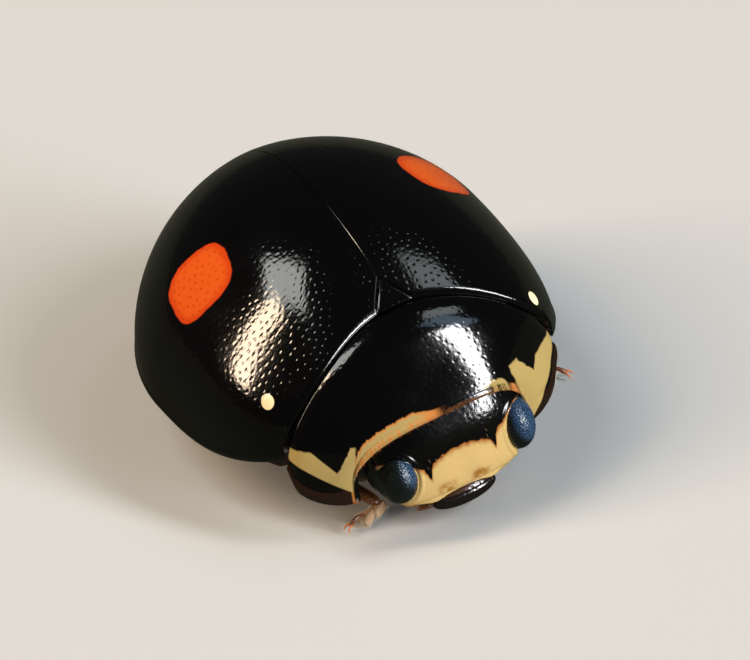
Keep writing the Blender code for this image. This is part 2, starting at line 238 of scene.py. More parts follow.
class Wiring:
    # short calls that add nodes to a tree and feed their sockets with a value or a link
    def __init__(self, tree):
        self.tree = tree

    def feed(self, socket, value):
        if isinstance(value, bpy.types.NodeSocket):
            self.tree.links.new(value, socket)
        elif value is not None:
            socket.default_value = value

    def node(self, kind, feeds=None, **settings):
        made = self.tree.nodes.new(kind)
        for key, value in settings.items():
            setattr(made, key, value)
        for key, value in (feeds or {}).items():
            self.feed(made.inputs[key], value)
        return made

    def math(self, operation, *values, clamp=False):
        made = self.node("ShaderNodeMath", operation=operation, use_clamp=clamp)
        for socket, value in zip(made.inputs, values):
            self.feed(socket, value)
        return made.outputs[0]

    def plus(self, a, b):
        return self.math("ADD", a, b)

    def minus(self, a, b):
        return self.math("SUBTRACT", a, b)

    def times(self, a, b):
        return self.math("MULTIPLY", a, b)

    def vector(self, operation, *values, out="Vector", scale=None):
        made = self.node("ShaderNodeVectorMath", operation=operation)
        for socket, value in zip(made.inputs, values):
            self.feed(socket, value)
        if scale is not None:
            self.feed(made.inputs["Scale"], scale)
        return made.outputs[out]

    def ramp(self, value, low, high, toLow=0.0, toHigh=1.0):
        feeds = {"Value": value, "From Min": low, "From Max": high, "To Min": toLow, "To Max": toHigh}
        return self.node("ShaderNodeMapRange", feeds, interpolation_type="SMOOTHSTEP").outputs["Result"]

    def noise(self, point, scale, detail):
        feeds = {"Vector": point, "Scale": scale, "Detail": detail}
        return self.node("ShaderNodeTexNoise", feeds).outputs["Fac"]

    def wave(self, point, scale, detail, height):
        # a slow irregular change to both sides of 0
        return self.times(self.minus(self.noise(point, scale, detail), 0.5), height)

    def colour(self, share, a, b):
        made = self.node("ShaderNodeMix", data_type="RGBA")
        sockets = {socket.identifier: socket for socket in (*made.inputs, *made.outputs)}
        self.feed(sockets["Factor_Float"], share)
        for key, value in (("A_Color", a), ("B_Color", b)):
            self.feed(sockets[key], value if isinstance(value, bpy.types.NodeSocket) else (*value, 1))
        return sockets["Result_Color"]

    def stored(self, name, kind="FLOAT"):
        # a value that the mesh carries, read inside a Geometry Nodes tree
        made = self.node("GeometryNodeInputNamedAttribute", {"Name": name}, data_type=kind)
        return made.outputs["Attribute"]

    def store(self, geometry, name, value, kind, domain):
        feeds = {"Geometry": geometry, "Name": name, "Value": value}
        made = self.node("GeometryNodeStoreNamedAttribute", feeds, data_type=kind, domain=domain)
        return made.outputs["Geometry"]

    def scatter(self, given, **more):
        # points on the given mesh, about one spacing apart
        density = self.math("DIVIDE", 4.0, self.times(given["Spacing"], given["Spacing"]))
        feeds = {"Mesh": given["Mesh"], "Distance Min": given["Spacing"], "Density Max": density}
        feeds.update(more, Seed=given["Seed"])
        return self.node("GeometryNodeDistributePointsOnFaces", feeds, distribute_method="POISSON").outputs

    def finish(self, geometry, given, result):
        # every tree ends in real faces that wear the given material
        done = self.node("GeometryNodeSetMaterial", {"Geometry": geometry, "Material": given["Material"]})
        self.feed(result["Mesh"], done.outputs["Geometry"])

    def realize(self, geometry):
        return self.node("GeometryNodeRealizeInstances", {"Geometry": geometry}).outputs["Geometry"]


def openTree(name, kind, inputs, outputs):
    # a node tree with named sockets; given are the values that come in, result is what goes out
    tree = bpy.data.node_groups.new(name, kind)
    for way, sockets in (("INPUT", inputs), ("OUTPUT", outputs)):
        for label, socketKind in sockets.items():
            tree.interface.new_socket(label, in_out=way, socket_type="NodeSocket" + socketKind)
    wire = Wiring(tree)
    given = wire.node("NodeGroupInput").outputs
    result = wire.node("NodeGroupOutput").inputs
    return tree, wire, given, result


def geometryTree(name, sockets):
    inputs = {"Mesh": "Geometry", **sockets, "Material": "Material"}
    return openTree(name, "GeometryNodeTree", inputs, {"Mesh": "Geometry"})


def runTree(thing, tree, values):
    # runs a tree on an object and keeps the result as its plain mesh
    modifier = thing.modifiers.new(tree.name, "NODES")
    modifier.node_group = tree
    for item in tree.interface.items_tree:
        if item.item_type == "SOCKET" and item.in_out == "INPUT" and item.name in values:
            modifier[item.identifier] = values[item.name]
    graph = bpy.context.evaluated_depsgraph_get()
    mesh = bpy.data.meshes.new_from_object(thing.evaluated_get(graph))
    mesh.name = thing.name
    thing.modifiers.clear()
    thing.data = mesh
    return thing


def makeDimpleTree():
    # sinks small round pits into a surface, or raises small domes where the depth is negative
    sockets = {"Spacing": "Float", "Radius": "Float", "Depth": "Float", "Seed": "Int"}
    tree, wire, given, result = geometryTree("dimples", sockets)
    points = wire.scatter(given)["Points"]
    near = wire.node("GeometryNodeProximity", {0: points}, target_element="POINTS")
    reach = wire.math("DIVIDE", near.outputs["Distance"], given["Radius"])
    hollow = wire.math("SUBTRACT", 1.0, wire.times(reach, reach), clamp=True)
    hollow = wire.times(wire.math("POWER", hollow, 1.5), wire.stored("dimpleShare"))
    normal = wire.node("GeometryNodeInputNormal").outputs["Normal"]
    depth = wire.times(wire.times(hollow, given["Depth"]), -1.0)
    offset = wire.vector("SCALE", normal, scale=depth)
    noted = wire.store(given["Mesh"], "dimple", hollow, "FLOAT", "POINT")
    moved = wire.node("GeometryNodeSetPosition", {"Geometry": noted, "Offset": offset})
    wire.finish(wire.realize(moved.outputs["Geometry"]), given, result)
    return tree


def makeBristleTree():
    # grows thin bent bristles from a surface, thickest where its bristleShare is 1
    sockets = {
        "Spacing": "Float", "Length": "Float", "Thickness": "Float", "Bend": "Float", "Lean": "Float",
        "Along": "Vector", "Untidy": "Float", "Seed": "Int", "Map Share": "Float", "Map Corner": "Vector",
    }
    tree, wire, given, result = geometryTree("bristles", sockets)
    scatter = wire.scatter(given, **{"Density Factor": wire.stored("bristleShare")})
    skin = wire.stored("skin", "FLOAT_VECTOR")
    rooted = wire.store(scatter["Points"], "root", skin, "FLOAT_VECTOR", "POINT")

    # one bristle: a slender spike whose tip bends aside
    spike = {
        "Vertices": 4, "Side Segments": 4, "Fill Segments": 1, "Radius Top": 0.12, "Radius Bottom": 1.0,
        "Depth": 1.0,
    }
    cone = wire.node("GeometryNodeMeshCone", spike).outputs
    mapped = wire.store(cone["Mesh"], "patch", cone["UV Map"], "FLOAT_VECTOR", "CORNER")
    position = wire.node("GeometryNodeInputPosition").outputs["Position"]
    height = wire.node("ShaderNodeSeparateXYZ", {0: position}).outputs["Z"]
    aside = wire.times(wire.times(height, height), given["Bend"])
    shift = wire.node("ShaderNodeCombineXYZ", {"X": aside}).outputs[0]
    bent = wire.node("GeometryNodeSetPosition", {"Geometry": mapped, "Offset": shift}).outputs["Geometry"]

    # which way it points, and how long it is
    anyWay = {"Min": (-1.0, -1.0, -1.0), "Max": (1.0, 1.0, 1.0), "Seed": given["Seed"]}
    stray = wire.node("FunctionNodeRandomValue", anyWay, data_type="FLOAT_VECTOR").outputs["Value"]
    stand = wire.vector("SCALE", scatter["Normal"], scale=wire.minus(1.0, given["Lean"]))
    lie = wire.vector("SCALE", given["Along"], scale=given["Lean"])
    stray = wire.vector("SCALE", stray, scale=given["Untidy"])
    way = wire.vector("ADD", wire.vector("ADD", stand, lie), stray)
    turned = wire.node("FunctionNodeAlignRotationToVector", {"Vector": way}, axis="Z").outputs["Rotation"]
    growth = wire.node("FunctionNodeRandomValue", {2: 0.6, 3: 1.1, "Seed": given["Seed"]}, data_type="FLOAT")
    long = wire.times(growth.outputs[1], given["Length"])
    size = wire.node("ShaderNodeCombineXYZ", {"X": given["Thickness"], "Y": given["Thickness"], "Z": long})
    planted = wire.node("GeometryNodeInstanceOnPoints", {
        "Points": rooted, "Instance": bent, "Rotation": turned, "Scale": size.outputs[0],
    })

    # its bake map is a small patch at its root's place on the map of the skin
    real = wire.realize(planted.outputs["Instances"])
    corner = wire.vector("SCALE", wire.stored("root", "FLOAT_VECTOR"), scale=given["Map Share"])
    corner = wire.vector("ADD", corner, given["Map Corner"])
    patch = wire.vector("SCALE", wire.stored("patch", "FLOAT_VECTOR"), scale=0.003)
    bakeMap = wire.vector("ADD", corner, patch)
    wire.finish(wire.store(real, "OFBake", bakeMap, "FLOAT2", "CORNER"), given, result)
    return tree


def makeSegmentTree():
    # puts one rounded segment on each point of a path, as long and as thick as the point says
    tree, wire, given, result = geometryTree("segments", {})
    ball = wire.node("GeometryNodeMeshUVSphere", {"Segments": 20, "Rings": 14, "Radius": 1.0})
    way = {"Vector": wire.stored("way", "FLOAT_VECTOR")}
    turned = wire.node("FunctionNodeAlignRotationToVector", way, axis="Z").outputs["Rotation"]
    planted = wire.node("GeometryNodeInstanceOnPoints", {
        "Points": given["Mesh"], "Instance": ball.outputs["Mesh"],
        "Rotation": turned, "Scale": wire.stored("size", "FLOAT_VECTOR"),
    })
    real = wire.realize(planted.outputs["Instances"])
    smoothed = wire.node("GeometryNodeSetShadeSmooth", {"Geometry": real}).outputs["Geometry"]
    wire.finish(smoothed, given, result)
    return tree


dimpleTree = makeDimpleTree()
bristleTree = makeBristleTree()
segmentTree = makeSegmentTree()
print("trees ready")


# The wing cases

shell = {
    "halfWidth": 1.60, "tailY": 3.095, "crestY": 1.445, "domeHeight": 1.505, "domePower": 1.92,
    "rearPower": 1.87, "frontLength": 2.035, "frontPower": 2.59, "shoulderLift": 0.24, "liftStartY": 1.12,
    "shoulderX": 1.235, "sutureGap": 0.002, "frontGap": 0.026, "lipRadius": 0.005, "frontLip": 0.042,
    "glintRise": 0.012, "beadRise": 0.010, "rings": 205,
    "pits": {"spacing": 0.056, "radius": 0.0140, "depth": 0.0020},
    # steps from the rim into the shell: in and down along the side, then in and down along the cuts
    "walls": (
        (0.012, 0.020, 0.0, 0.03), (0.10, 0.030, 0.0, 0.08), (0.26, 0.0, 0.02, 0.14),
        (0.30, -0.12, 0.06, 0.16),
    ),
}
# The two pale discs on the shoulders are painted highlights: a lamp's reflection painted into the shell's
# colour
glintDisc = {
    "left": (1.158, -0.053, 0.690), "right": (-1.215, 0.118, 0.726), "radius": 0.066,
    "colour": (0.78, 0.64, 0.38),
}
scutellum = {
    "width": 0.27, "length": 0.19, "sink": 0.003, "edgeSink": 0.006, "thickness": 0.06,
    "pits": {"spacing": 0.05, "radius": 0.010, "depth": 0.0012},
}

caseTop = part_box("elytron_left")[1]
bodyOrigin = np.array((0.0, caseTop.y - shell["tailY"] * mm, caseTop.z - shell["domeHeight"] * mm))
floorZ = -bodyOrigin[2] / mm  # the floor in body coordinates


def outlineCurve(behind):
    # the outline is a squarish oval, with one power and length behind the crest and another before it
    power = np.where(behind, shell["rearPower"], shell["frontPower"])
    return power, np.where(behind, shell["tailY"] - shell["crestY"], shell["frontLength"])


def domeHeight(x, y):
    power, length = outlineCurve(y > shell["crestY"])
    share = (np.abs(x / shell["halfWidth"]) ** power + np.abs((y - shell["crestY"]) / length) ** power)
    share = np.minimum(share ** (1 / power), 1.0)
    lift = shell["shoulderLift"] * np.maximum(0, (shell["liftStartY"] - y) / shell["liftStartY"]) ** 2
    return shell["domeHeight"] * (1 - share**2) ** (1 / shell["domePower"]) + lift * share**4


def outlinePoint(angle):
    power, length = outlineCurve(np.cos(angle) > 0)
    x = shell["halfWidth"] * np.sin(angle) ** (2 / power)
    return x, shell["crestY"] + length * signedPower(np.cos(angle), 2 / power)


def outlineX(y):
    # half width of the outline at a place along the body
    power, length = outlineCurve(y > shell["crestY"])
    share = np.clip(np.abs(y - shell["crestY"]) / length, 0, 1)
    return shell["halfWidth"] * (1 - share**power) ** (1 / power)


def caseFrontY(x):
    # the front edge follows the pronotum's hind edge and leaves a notch for the scutellum
    notchHalf = scutellum["width"] / 2 + shell["frontGap"]
    notch = (scutellum["length"] + 0.02) * np.maximum(0, 1 - np.abs(x) / notchHalf)
    return collarHindY(x) + shell["frontGap"] + notch


def caseOutline(share):
    # share 0 at the tail, 0.75 at the shoulder and 1 at the scutellum
    shoulder = math.pi - math.asin((shell["shoulderX"] / shell["halfWidth"]) ** (shell["frontPower"] / 2))
    sideX, sideY = outlinePoint(np.clip(shoulder * share / 0.75, 0, shoulder))
    frontX = shell["shoulderX"] * np.clip((1 - share) / 0.25, 0, 1)
    shoulderY = outlinePoint(np.array(shoulder))[1]
    frontY = mix(shoulderY, caseFrontY(frontX), np.clip((share - 0.75) / 0.05, 0, 1))
    onSide = share <= 0.75
    return np.where(onSide, sideX, frontX), np.where(onSide, sideY, frontY)


def casePoint(a, b):
    # maps a half square, a from 0 to 1 and b from -1 to 1, on to a wing case as rings round the crest
    ring = np.maximum(np.maximum(a, np.abs(b)), 1e-9)
    ends = np.where(b > 0, a / (4 * ring), 1 - a / (4 * ring))
    share = np.where(a >= np.abs(b), (2 * ring - b) / (4 * ring), ends)
    x, y = caseOutline(share)
    spread = mix(np.sin(ring * math.pi / 2), ring, smooth(0.70, 0.86, share))
    x = x * spread
    y = shell["crestY"] + (y - shell["crestY"]) * spread
    return x, y, domeHeight(x, y), share, ring


def caseSurface(a, b, side):
    # the outer face, with rounded edges, a bead along the side and a low rise under the painted highlight
    # disc
    x, y, z, share, ring = casePoint(a, b)
    fromSuture = np.abs(x)
    fromFront = np.where(share > 0.7, y - caseFrontY(x), 9.0)
    fromSide = np.where(share > 0.76, 9.0, (1 - ring) * 1.6)
    for distance, radius in ((fromSuture, shell["lipRadius"]), (fromFront, shell["frontLip"])):
        z = z - radius * (1 - np.sqrt(1 - np.clip(1 - distance / radius, 0, 1) ** 2))
    cx, cy, cz = glintDisc["left" if side > 0 else "right"]

    def fromGlint():
        return np.sqrt((x - abs(cx)) ** 2 + (y - cy) ** 2 + (z - cz) ** 2)

    z = z + shell["glintRise"] * smooth(glintDisc["radius"] * 1.15, glintDisc["radius"] * 0.5, fromGlint())
    x = x + hill(fromSide, 0.030, 0.018) * shell["beadRise"] * np.minimum(1, x)
    x = x + shell["sutureGap"] * np.clip(1 - x / shell["halfWidth"], 0, 1)
    pits = smooth(0.02, 0.07, fromSuture) * smooth(0.02, 0.06, fromSide) * smooth(0.02, 0.06, fromFront)
    pits = pits * smooth(glintDisc["radius"] * 1.05, glintDisc["radius"] * 1.3, fromGlint())
    return np.stack((x, y, z), -1), share, pits


def caseWalls(edge, share, alongSuture):
    # rings of points that lead from the rim of the outer face down and into the shell
    atFront = ~alongSuture & (share > 0.76)
    isCut = alongSuture | atFront
    inward = np.array((0.55, shell["crestY"], 0)) - edge
    inward[:, 2] = 0
    inward = unit(inward)
    inward[alongSuture] = (1, 0, 0)
    inward[atFront] = unit(np.array((0.15, 1, 0)))
    high = np.clip((edge[:, 2] - 0.05) / 0.6, 0, 1)
    for inSide, downSide, inCut, downCut in shell["walls"]:
        ring = edge + np.where(isCut[:, None], inward * inCut * high[:, None], inward * inSide)
        ring[:, 2] -= np.where(isCut, downCut * high, downSide)
        yield ring


def makeWingCase(name, side):
    n = shell["rings"]
    steps = np.linspace(0, 1, n + 1)
    steps = np.concatenate((np.array((0, 0.0025, 0.006, 0.010)), steps[3:]))  # close rows at the suture
    b, a = grid(steps, np.linspace(-1, 1, 2 * n + 1))
    points, share, pits = caseSurface(a, b, side)
    rows, columns = a.shape
    count = rows * columns
    number = np.arange(count).reshape(rows, columns)
    rim = np.concatenate((number[:-1, -1], number[-1, ::-1], number[-2::-1, 0], number[0, 1:-1]))
    alongSuture = np.arange(len(rim)) >= len(rim) - (columns - 2)
    everything = [points.reshape(-1, 3)]
    faces = [gridFaces(rows, columns)]
    last = rim
    for ring in caseWalls(everything[0][rim], share.ravel()[rim], alongSuture):
        fresh = np.arange(count, count + len(rim))
        count += len(rim)
        everything.append(ring)
        faces.append(np.stack((last, np.roll(last, -1), np.roll(fresh, -1), fresh), 1))
        last = fresh
    everything.append(np.array([[0.6, shell["crestY"], 0.75]]))  # the inside closes on one point
    faces = [tuple(face) for block in faces for face in block]
    faces += [(int(p), int(q), count) for p, q in zip(last, np.roll(last, -1))]
    points = np.concatenate(everything)
    uv = np.zeros((len(points), 2))
    uv[: rows * columns] = np.stack((a, (b + 1) / 2), -1).reshape(-1, 2)
    strength = np.zeros(len(points))
    strength[: rows * columns] = pits.ravel()
    case = makePiece(name, points * np.array((side, 1, 1)), faces, uv, {"dimpleShare": strength})
    print(name, len(case.data.polygons), "faces")
    return case


def makeScutellum():
    u, v = grid(np.linspace(0, 1, 40), np.linspace(1, -1, 41))
    hind = collar["hindMiddleY"] + shell["frontGap"]
    length = scutellum["length"] + 0.02
    y = mix(hind - 0.02, hind + length * 0.97, v)
    halfWidth = (scutellum["width"] / 2 + shell["frontGap"]) * (1 - (y - hind) / length) - 0.004
    x = u * np.clip(halfWidth, 0.001, 0.16)
    z = domeHeight(x, y) - scutellum["sink"] - scutellum["edgeSink"] * smooth(0.80, 1.0, np.abs(u))
    share = smooth(0.9, 0.6, np.abs(u))
    return slab("scutellumPlate", np.stack((x, y, z), -1), scutellum["thickness"], {"dimpleShare": share})


# The pronotum

collar = {
    "hindHalfWidth": 1.23, "hindTop": 1.105, "hindEdgeZ": 0.18, "hindMiddleY": 0.06, "hindCornerY": -0.17,
    "hindArchPower": 1.95, "frontHalfWidth": 0.82, "frontTop": 0.50, "frontEdgeZ": -0.10,
    "frontMiddleY": -0.57, "frontCornerY": -0.495, "frontArchPower": 3.3, "narrowingPower": 1.4,
    "fallingPower": 1.95, "sideEdgePower": 0.8, "cornerPower": 3, "archRounding": 8,
    "sway": (-0.075, -0.045),  # sideways shift of its left and right halves
    "lipRadius": 0.022, "flangeForward": 0.03, "flangeDrop": 0.045, "beadRise": 0.014, "thickness": 0.05,
    "rows": 115, "columns": 330,
    "pits": {"spacing": 0.055, "radius": 0.011, "depth": 0.0016},
}
# The cream band behind the front edge. Each stretch of x starts, is full, begins to fade and ends.
band = {
    "rightBreadth": 0.055, "rightStretch": (-0.84, -0.74, -0.30, -0.08),
    "rightEnds": (-0.84, -0.80, -0.30, -0.10),
    "leftBreadth": 0.05, "leftStretch": (0.34, 0.44, 0.52, 0.62), "leftEnds": (0.34, 0.40, 0.56, 0.60),
    "amberStretch": (-0.86, -0.80, -0.12, -0.02), "raggedness": 0.9, "seed": 4,
}


def collarHindY(x):
    share = np.minimum(np.abs(x) / collar["hindHalfWidth"], 1.0)
    return mix(collar["hindMiddleY"], collar["hindCornerY"], (1 - np.cos(math.pi * share)) / 2)


def collarPoint(across, ahead):
    angle = across * math.pi / 2
    rounded = np.sqrt(1 - ahead**2)
    half = mix(collar["frontHalfWidth"], collar["hindHalfWidth"], rounded ** collar["narrowingPower"])
    low = mix(collar["hindEdgeZ"], collar["frontEdgeZ"], ahead ** collar["sideEdgePower"])
    high = mix(collar["frontTop"], collar["hindTop"], rounded ** collar["fallingPower"])
    power = 2 / mix(collar["hindArchPower"], collar["frontArchPower"], ahead ** collar["archRounding"])
    xShare = signedPower(np.sin(angle), power)
    zShare = np.clip(np.cos(angle), 0, 1) ** power
    hindY = collarHindY(xShare * collar["hindHalfWidth"])
    frontY = mix(collar["frontMiddleY"], collar["frontCornerY"], np.abs(xShare) ** collar["cornerPower"])
    sway = np.where(xShare > 0, collar["sway"][0], collar["sway"][1]) * smooth(0.45, 1.0, np.abs(xShare))
    x = half * xShare + sway * mix(0.4, 1.0, smooth(0, 0.4, ahead))
    return np.stack((x, mix(hindY, frontY, ahead), mix(low, high, zShare)), -1)


def collarPaint(x, behind, across):
    # shares of cream and amber; behind is the distance behind the front edge, negative on the flange
    wave = 0.004 * np.sin(x * 61) + 0.003 * np.sin(x * 137 + 1) + 0.003 * np.sin(x * 211 + 2)
    breadth = band["rightBreadth"] * between(x, band["rightStretch"])
    breadth = breadth + band["leftBreadth"] * between(x, band["leftStretch"])
    breadth = breadth + wave * smooth(0.01, 0.04, breadth)
    ends = np.maximum(between(x, band["rightEnds"]), between(x, band["leftEnds"]))
    cream = smooth(breadth + 0.006, breadth - 0.006, behind) * ends
    fine = np.random.default_rng(band["seed"]).random(260)
    fine = np.interp(x, np.linspace(-1.3, 1.3, 260), fine)
    cream = cream * (1 - smooth(0.45, 0.62, fine) * smooth(0.016, -0.012, behind) * band["raggedness"])
    amber = smooth(breadth + 0.022, breadth + 0.010, behind) * between(x, band["amberStretch"])
    corners = smooth(0.45, 0.55, np.abs(across)) * np.where(x > 0, smooth(0.70, 0.62, x), 1)
    return cream, np.maximum(amber, smooth(0.020, 0.012, behind) * corners)


def makeCollar():
    def eased(low, high, count, share):
        # even steps mixed with ones that close up towards -1 and 1
        even = np.linspace(low, high, count)
        return np.sin(even * math.pi / 2) * share + even * (1 - share)

    across = eased(-1, 1, collar["columns"], 0.25)
    ahead = eased(0, 1, collar["rows"], 0.5)
    top = collarPoint(*grid(ahead, across))
    normals = gridNormals(top)
    normals[0, :] = normals[2, :]
    normals[-1, :] = normals[-3, :]
    fromSide = 1 - np.abs(across)
    bead = hill(fromSide, 0.045, 0.022) - 0.6 * hill(fromSide, 0.095, 0.02)
    bead = bead * collar["beadRise"] * (1 - smooth(0.75, 1.0, ahead))[:, None]
    top = top + normals * bead[..., None]

    # the hind edge rounds over, and the front edge bends down to a flange
    hind = []
    for turn in np.linspace(0, math.pi / 2, 6)[1:]:
        r = collar["lipRadius"]
        hind.append(top[0] + np.array((0, 1, 0)) * r * math.sin(turn) - normals[0] * r * (1 - math.cos(turn)))
    front = []
    corner = 1 - smooth(0.55, 0.95, np.abs(across))[:, None]
    towardsHead = unit(np.stack((-np.sign(across) * 0.2, 0 * across, 0 * across - 1), -1))
    for turn in np.linspace(0, 1, 10)[1:]:
        forward = np.array((0, -1, 0)) * collar["flangeForward"] * math.sin(turn * math.pi / 2)
        inward = towardsHead * collar["flangeDrop"] * turn**1.4
        front.append(top[-1] + (forward + inward) * (0.15 + 0.85 * corner))
    points = np.concatenate((np.array(hind[::-1]), top, np.array(front)))

    plate = slice(len(hind), len(hind) + len(top))
    x = points[..., 0]
    pits = np.zeros(x.shape)
    pits[plate] = smooth(0.02, 0.08, fromSide)
    thickness = np.full(x.shape, collar["thickness"])
    thickness[:len(hind)] = collar["thickness"] * 0.6
    fringe = np.zeros(x.shape)
    fringe[-7:-2] = 1
    run = np.concatenate((np.zeros((1, len(across))), np.linalg.norm(np.diff(points, axis=0), axis=-1)))
    run = np.cumsum(run, axis=0)
    cream, amber = collarPaint(x, run[plate.stop - 1] - run, across)
    v = np.linspace(0, 1, len(points))[:, None] + 0 * across[None]
    uv = np.stack((0 * v + (across[None] + 1) / 2, v), -1)
    return slab("pronotumPlate", points, thickness, {
        "dimpleShare": pits, "bristleShare": fringe, "bandShare": cream, "amberShare": amber,
        "rimShare": smooth(0.085, 0.075, fromSide)[None] + 0 * x, "outerShare": np.ones(x.shape),
    }, uv)


# The head

head = {
    "centre": (0.02, -0.36, 0.13), "half": (0.70, 0.31, 0.48), "sidePower": 3.0, "facePower": 3.2,
    "vertexPower": 2.4, "lean": math.tan(math.radians(12)), "grooveDepth": 0.015, "ridgeHeight": 0.008,
    "seamDepth": 0.010, "seamZ": -0.235, "lipSeatHeight": 0.012, "lipSeatZ": -0.275, "swelling": 0.010,
    "pits": {"spacing": 0.042, "radius": 0.012, "depth": 0.0022},
}
eye = {
    "centre": (0.54, -0.495, 0.0), "shift": 0.045, "half": (0.166, 0.24, 0.235),
    "facets": {"spacing": 0.020, "radius": 0.0115, "depth": -0.0030},
}


def eyeReach(points):
    # 1 on the surface of the nearer eye
    away = points.copy()
    away[..., 0] = np.abs(away[..., 0] - eye["shift"])
    return np.linalg.norm((away - np.array(eye["centre"])) / np.array(eye["half"]), axis=-1)


def headShape(points):
    # leans the lump back, and raises and sinks the rings round the eyes and the seams of the face
    points = points.copy()
    points[..., 1] += points[..., 2] * head["lean"]
    at = points + np.array(head["centre"])
    x, z = at[..., 0], at[..., 2]
    reach = eyeReach(at)
    outward = unit(points / np.array(head["half"]) ** 2)
    front = smooth(-0.55, -0.62, at[..., 1])
    groove = -head["grooveDepth"] * hill(reach, 1.05, 0.05)
    ridge = head["ridgeHeight"] * hill(reach, 1.19, 0.06)
    seam = -head["seamDepth"] * hill(z - head["seamZ"] + 0.10 * x**2, 0, 0.012)
    seam = seam * smooth(0.42, 0.34, np.abs(x)) * front
    seat = head["lipSeatHeight"] * hill(z, head["lipSeatZ"], 0.02) * smooth(0.36, 0.28, np.abs(x)) * front
    swell = head["swelling"] * np.exp(-((np.abs(x) - 0.16) / 0.12) ** 2 - ((z + 0.06) / 0.1) ** 2) * front
    return points + outward * (groove + ridge + seam + seat + swell)[..., None]


def headCover(points):
    y, z = points[..., 1], points[..., 2]
    reach = eyeReach(points)
    front = smooth(-0.30, -0.45, y)
    pits = front * smooth(1.20, 1.35, reach) * mix(0.45, 1.0, smooth(0.0, 0.16, z))
    hairs = front * smooth(1.15, 1.3, reach) * smooth(0.20, 0.05, z) * smooth(-0.5, -0.62, y)
    return {"dimpleShare": pits, "bristleShare": hairs}


def makeHead():
    def squareness(vz):
        return mix(head["facePower"], head["vertexPower"], smooth(-0.2, 0.3, vz))

    powers = (head["sidePower"], squareness)
    return lump("headCapsule", head["centre"], head["half"], powers, 230, 250, headShape, headCover)


def makeEye(name, side):
    def cover(points):
        return {"dimpleShare": np.ones(points.shape[:2])}

    centre = np.array(eye["centre"]) * np.array((side, 1, 1)) + np.array((eye["shift"], 0, 0))
    return lump(name, centre, eye["half"], (2, 2), 180, 290, attributes=cover)


lip = {
    "centre": (0.005, -0.685, -0.325), "half": (0.285, 0.050, 0.085), "powers": (2.2, 2.6),
    "sweepBack": 0.25, "grooveZ": 0.035, "grooveDepth": 0.008, "lineZ": (-0.272, -0.262),
    "pits": {"spacing": 0.04, "radius": 0.010, "depth": 0.003},
}


def makeLip():
    def shape(points):
        points = points.copy()
        groove = hill(points[..., 2], lip["grooveZ"], 0.010)
        points[..., 1] += lip["sweepBack"] * points[..., 0] ** 2
        points[..., 1] += lip["grooveDepth"] * groove
        return points

    def cover(points):
        low = smooth(-0.38, -0.43, points[..., 2])
        return {"bristleShare": low, "dimpleShare": np.ones(low.shape)}

    return lump("upperLip", lip["centre"], lip["half"], lip["powers"], 90, 120, shape, cover)


palp = {
    "path": ((0.22, -0.30, -0.32), (0.25, -0.40, -0.38), (0.27, -0.48, -0.42), (0.28, -0.52, -0.46)),
    "at": (0, 0.3, 0.55, 0.62, 1.0), "girth": (0.04, 0.05, 0.05, 0.05, 0.09), "flat": (1, 1, 0.9, 0.8, 0.5),
    "joints": (0.28, 0.58), "jointDepth": 0.35,
}


def makePalp(name, side):
    path = curvePath(np.array(palp["path"]) * np.array((side, 1, 1)), 60)
    t = np.linspace(0, 1, 60)
    girth = np.interp(t, palp["at"], palp["girth"])
    joints = 1 - palp["jointDepth"] * sum(hill(t, joint, 0.018) for joint in palp["joints"])
    ends = roundEnds(t, 14)
    flat = np.interp(t, palp["at"], palp["flat"])
    return sweep(name, path, girth * joints * ends, girth * flat * joints * ends, 24)


feeler = {
    "path": (
        (0.37, -0.61, -0.25), (0.42, -0.52, -0.33), (0.45, -0.36, -0.37), (0.47, -0.20, -0.38),
        (0.50, -0.04, -0.39),
    ),
    "lengths": (2.2, 1.3, 1.4, 0.9, 0.8, 0.7, 0.7, 0.7, 1.1, 1.2, 1.2),
    "girths": (0.034, 0.026, 0.020, 0.018, 0.018, 0.018, 0.019, 0.021, 0.030, 0.035, 0.028),
}


def makeFeeler(name, side, material):
    dense = curvePath(np.array(feeler["path"]) * np.array((side, 1, 1)), 400)
    run = np.concatenate(((0,), np.cumsum(np.linalg.norm(np.diff(dense, axis=0), axis=1))))

    def placeAt(distance):
        return np.stack([np.interp(distance, run, dense[:, k]) for k in range(3)], 1)

    lengths = np.array(feeler["lengths"])
    ends = np.concatenate(((0,), np.cumsum(lengths))) * run[-1] / lengths.sum()
    thick = np.array(feeler["girths"])
    mesh = bpy.data.meshes.new(name)
    mesh.from_pydata((placeAt((ends[1:] + ends[:-1]) / 2) * mm + bodyOrigin).tolist(), [], [])
    way = unit(placeAt(ends[1:]) - placeAt(ends[:-1]))
    size = np.stack((thick, thick, np.diff(ends) * 0.56), 1) * mm
    for label, values in (("way", way), ("size", size)):
        stored = mesh.attributes.new(label, "FLOAT_VECTOR", "POINT")
        stored.data.foreach_set("vector", values.astype(np.float32).ravel())
    return runTree(linkObject(name, mesh), segmentTree, {"Material": material})


# The underside

belly = {
    "tuck": 0.16, "depth": 0.15, "ringStep": 0.020, "thickness": 0.20,
    "pits": {"spacing": 0.05, "radius": 0.014, "depth": 0.004},
    "breast": {"start": 0.10, "end": 1.43, "rings": (0.62, 1.40)},
    "rear": {"start": 1.39, "end": 3.0, "rings": (1.60, 1.90, 2.15, 2.38, 2.60)},
}
throat = {"centre": (-0.02, -0.07, 0.12), "half": (0.93, 0.30, 0.34), "powers": (3, 3)}


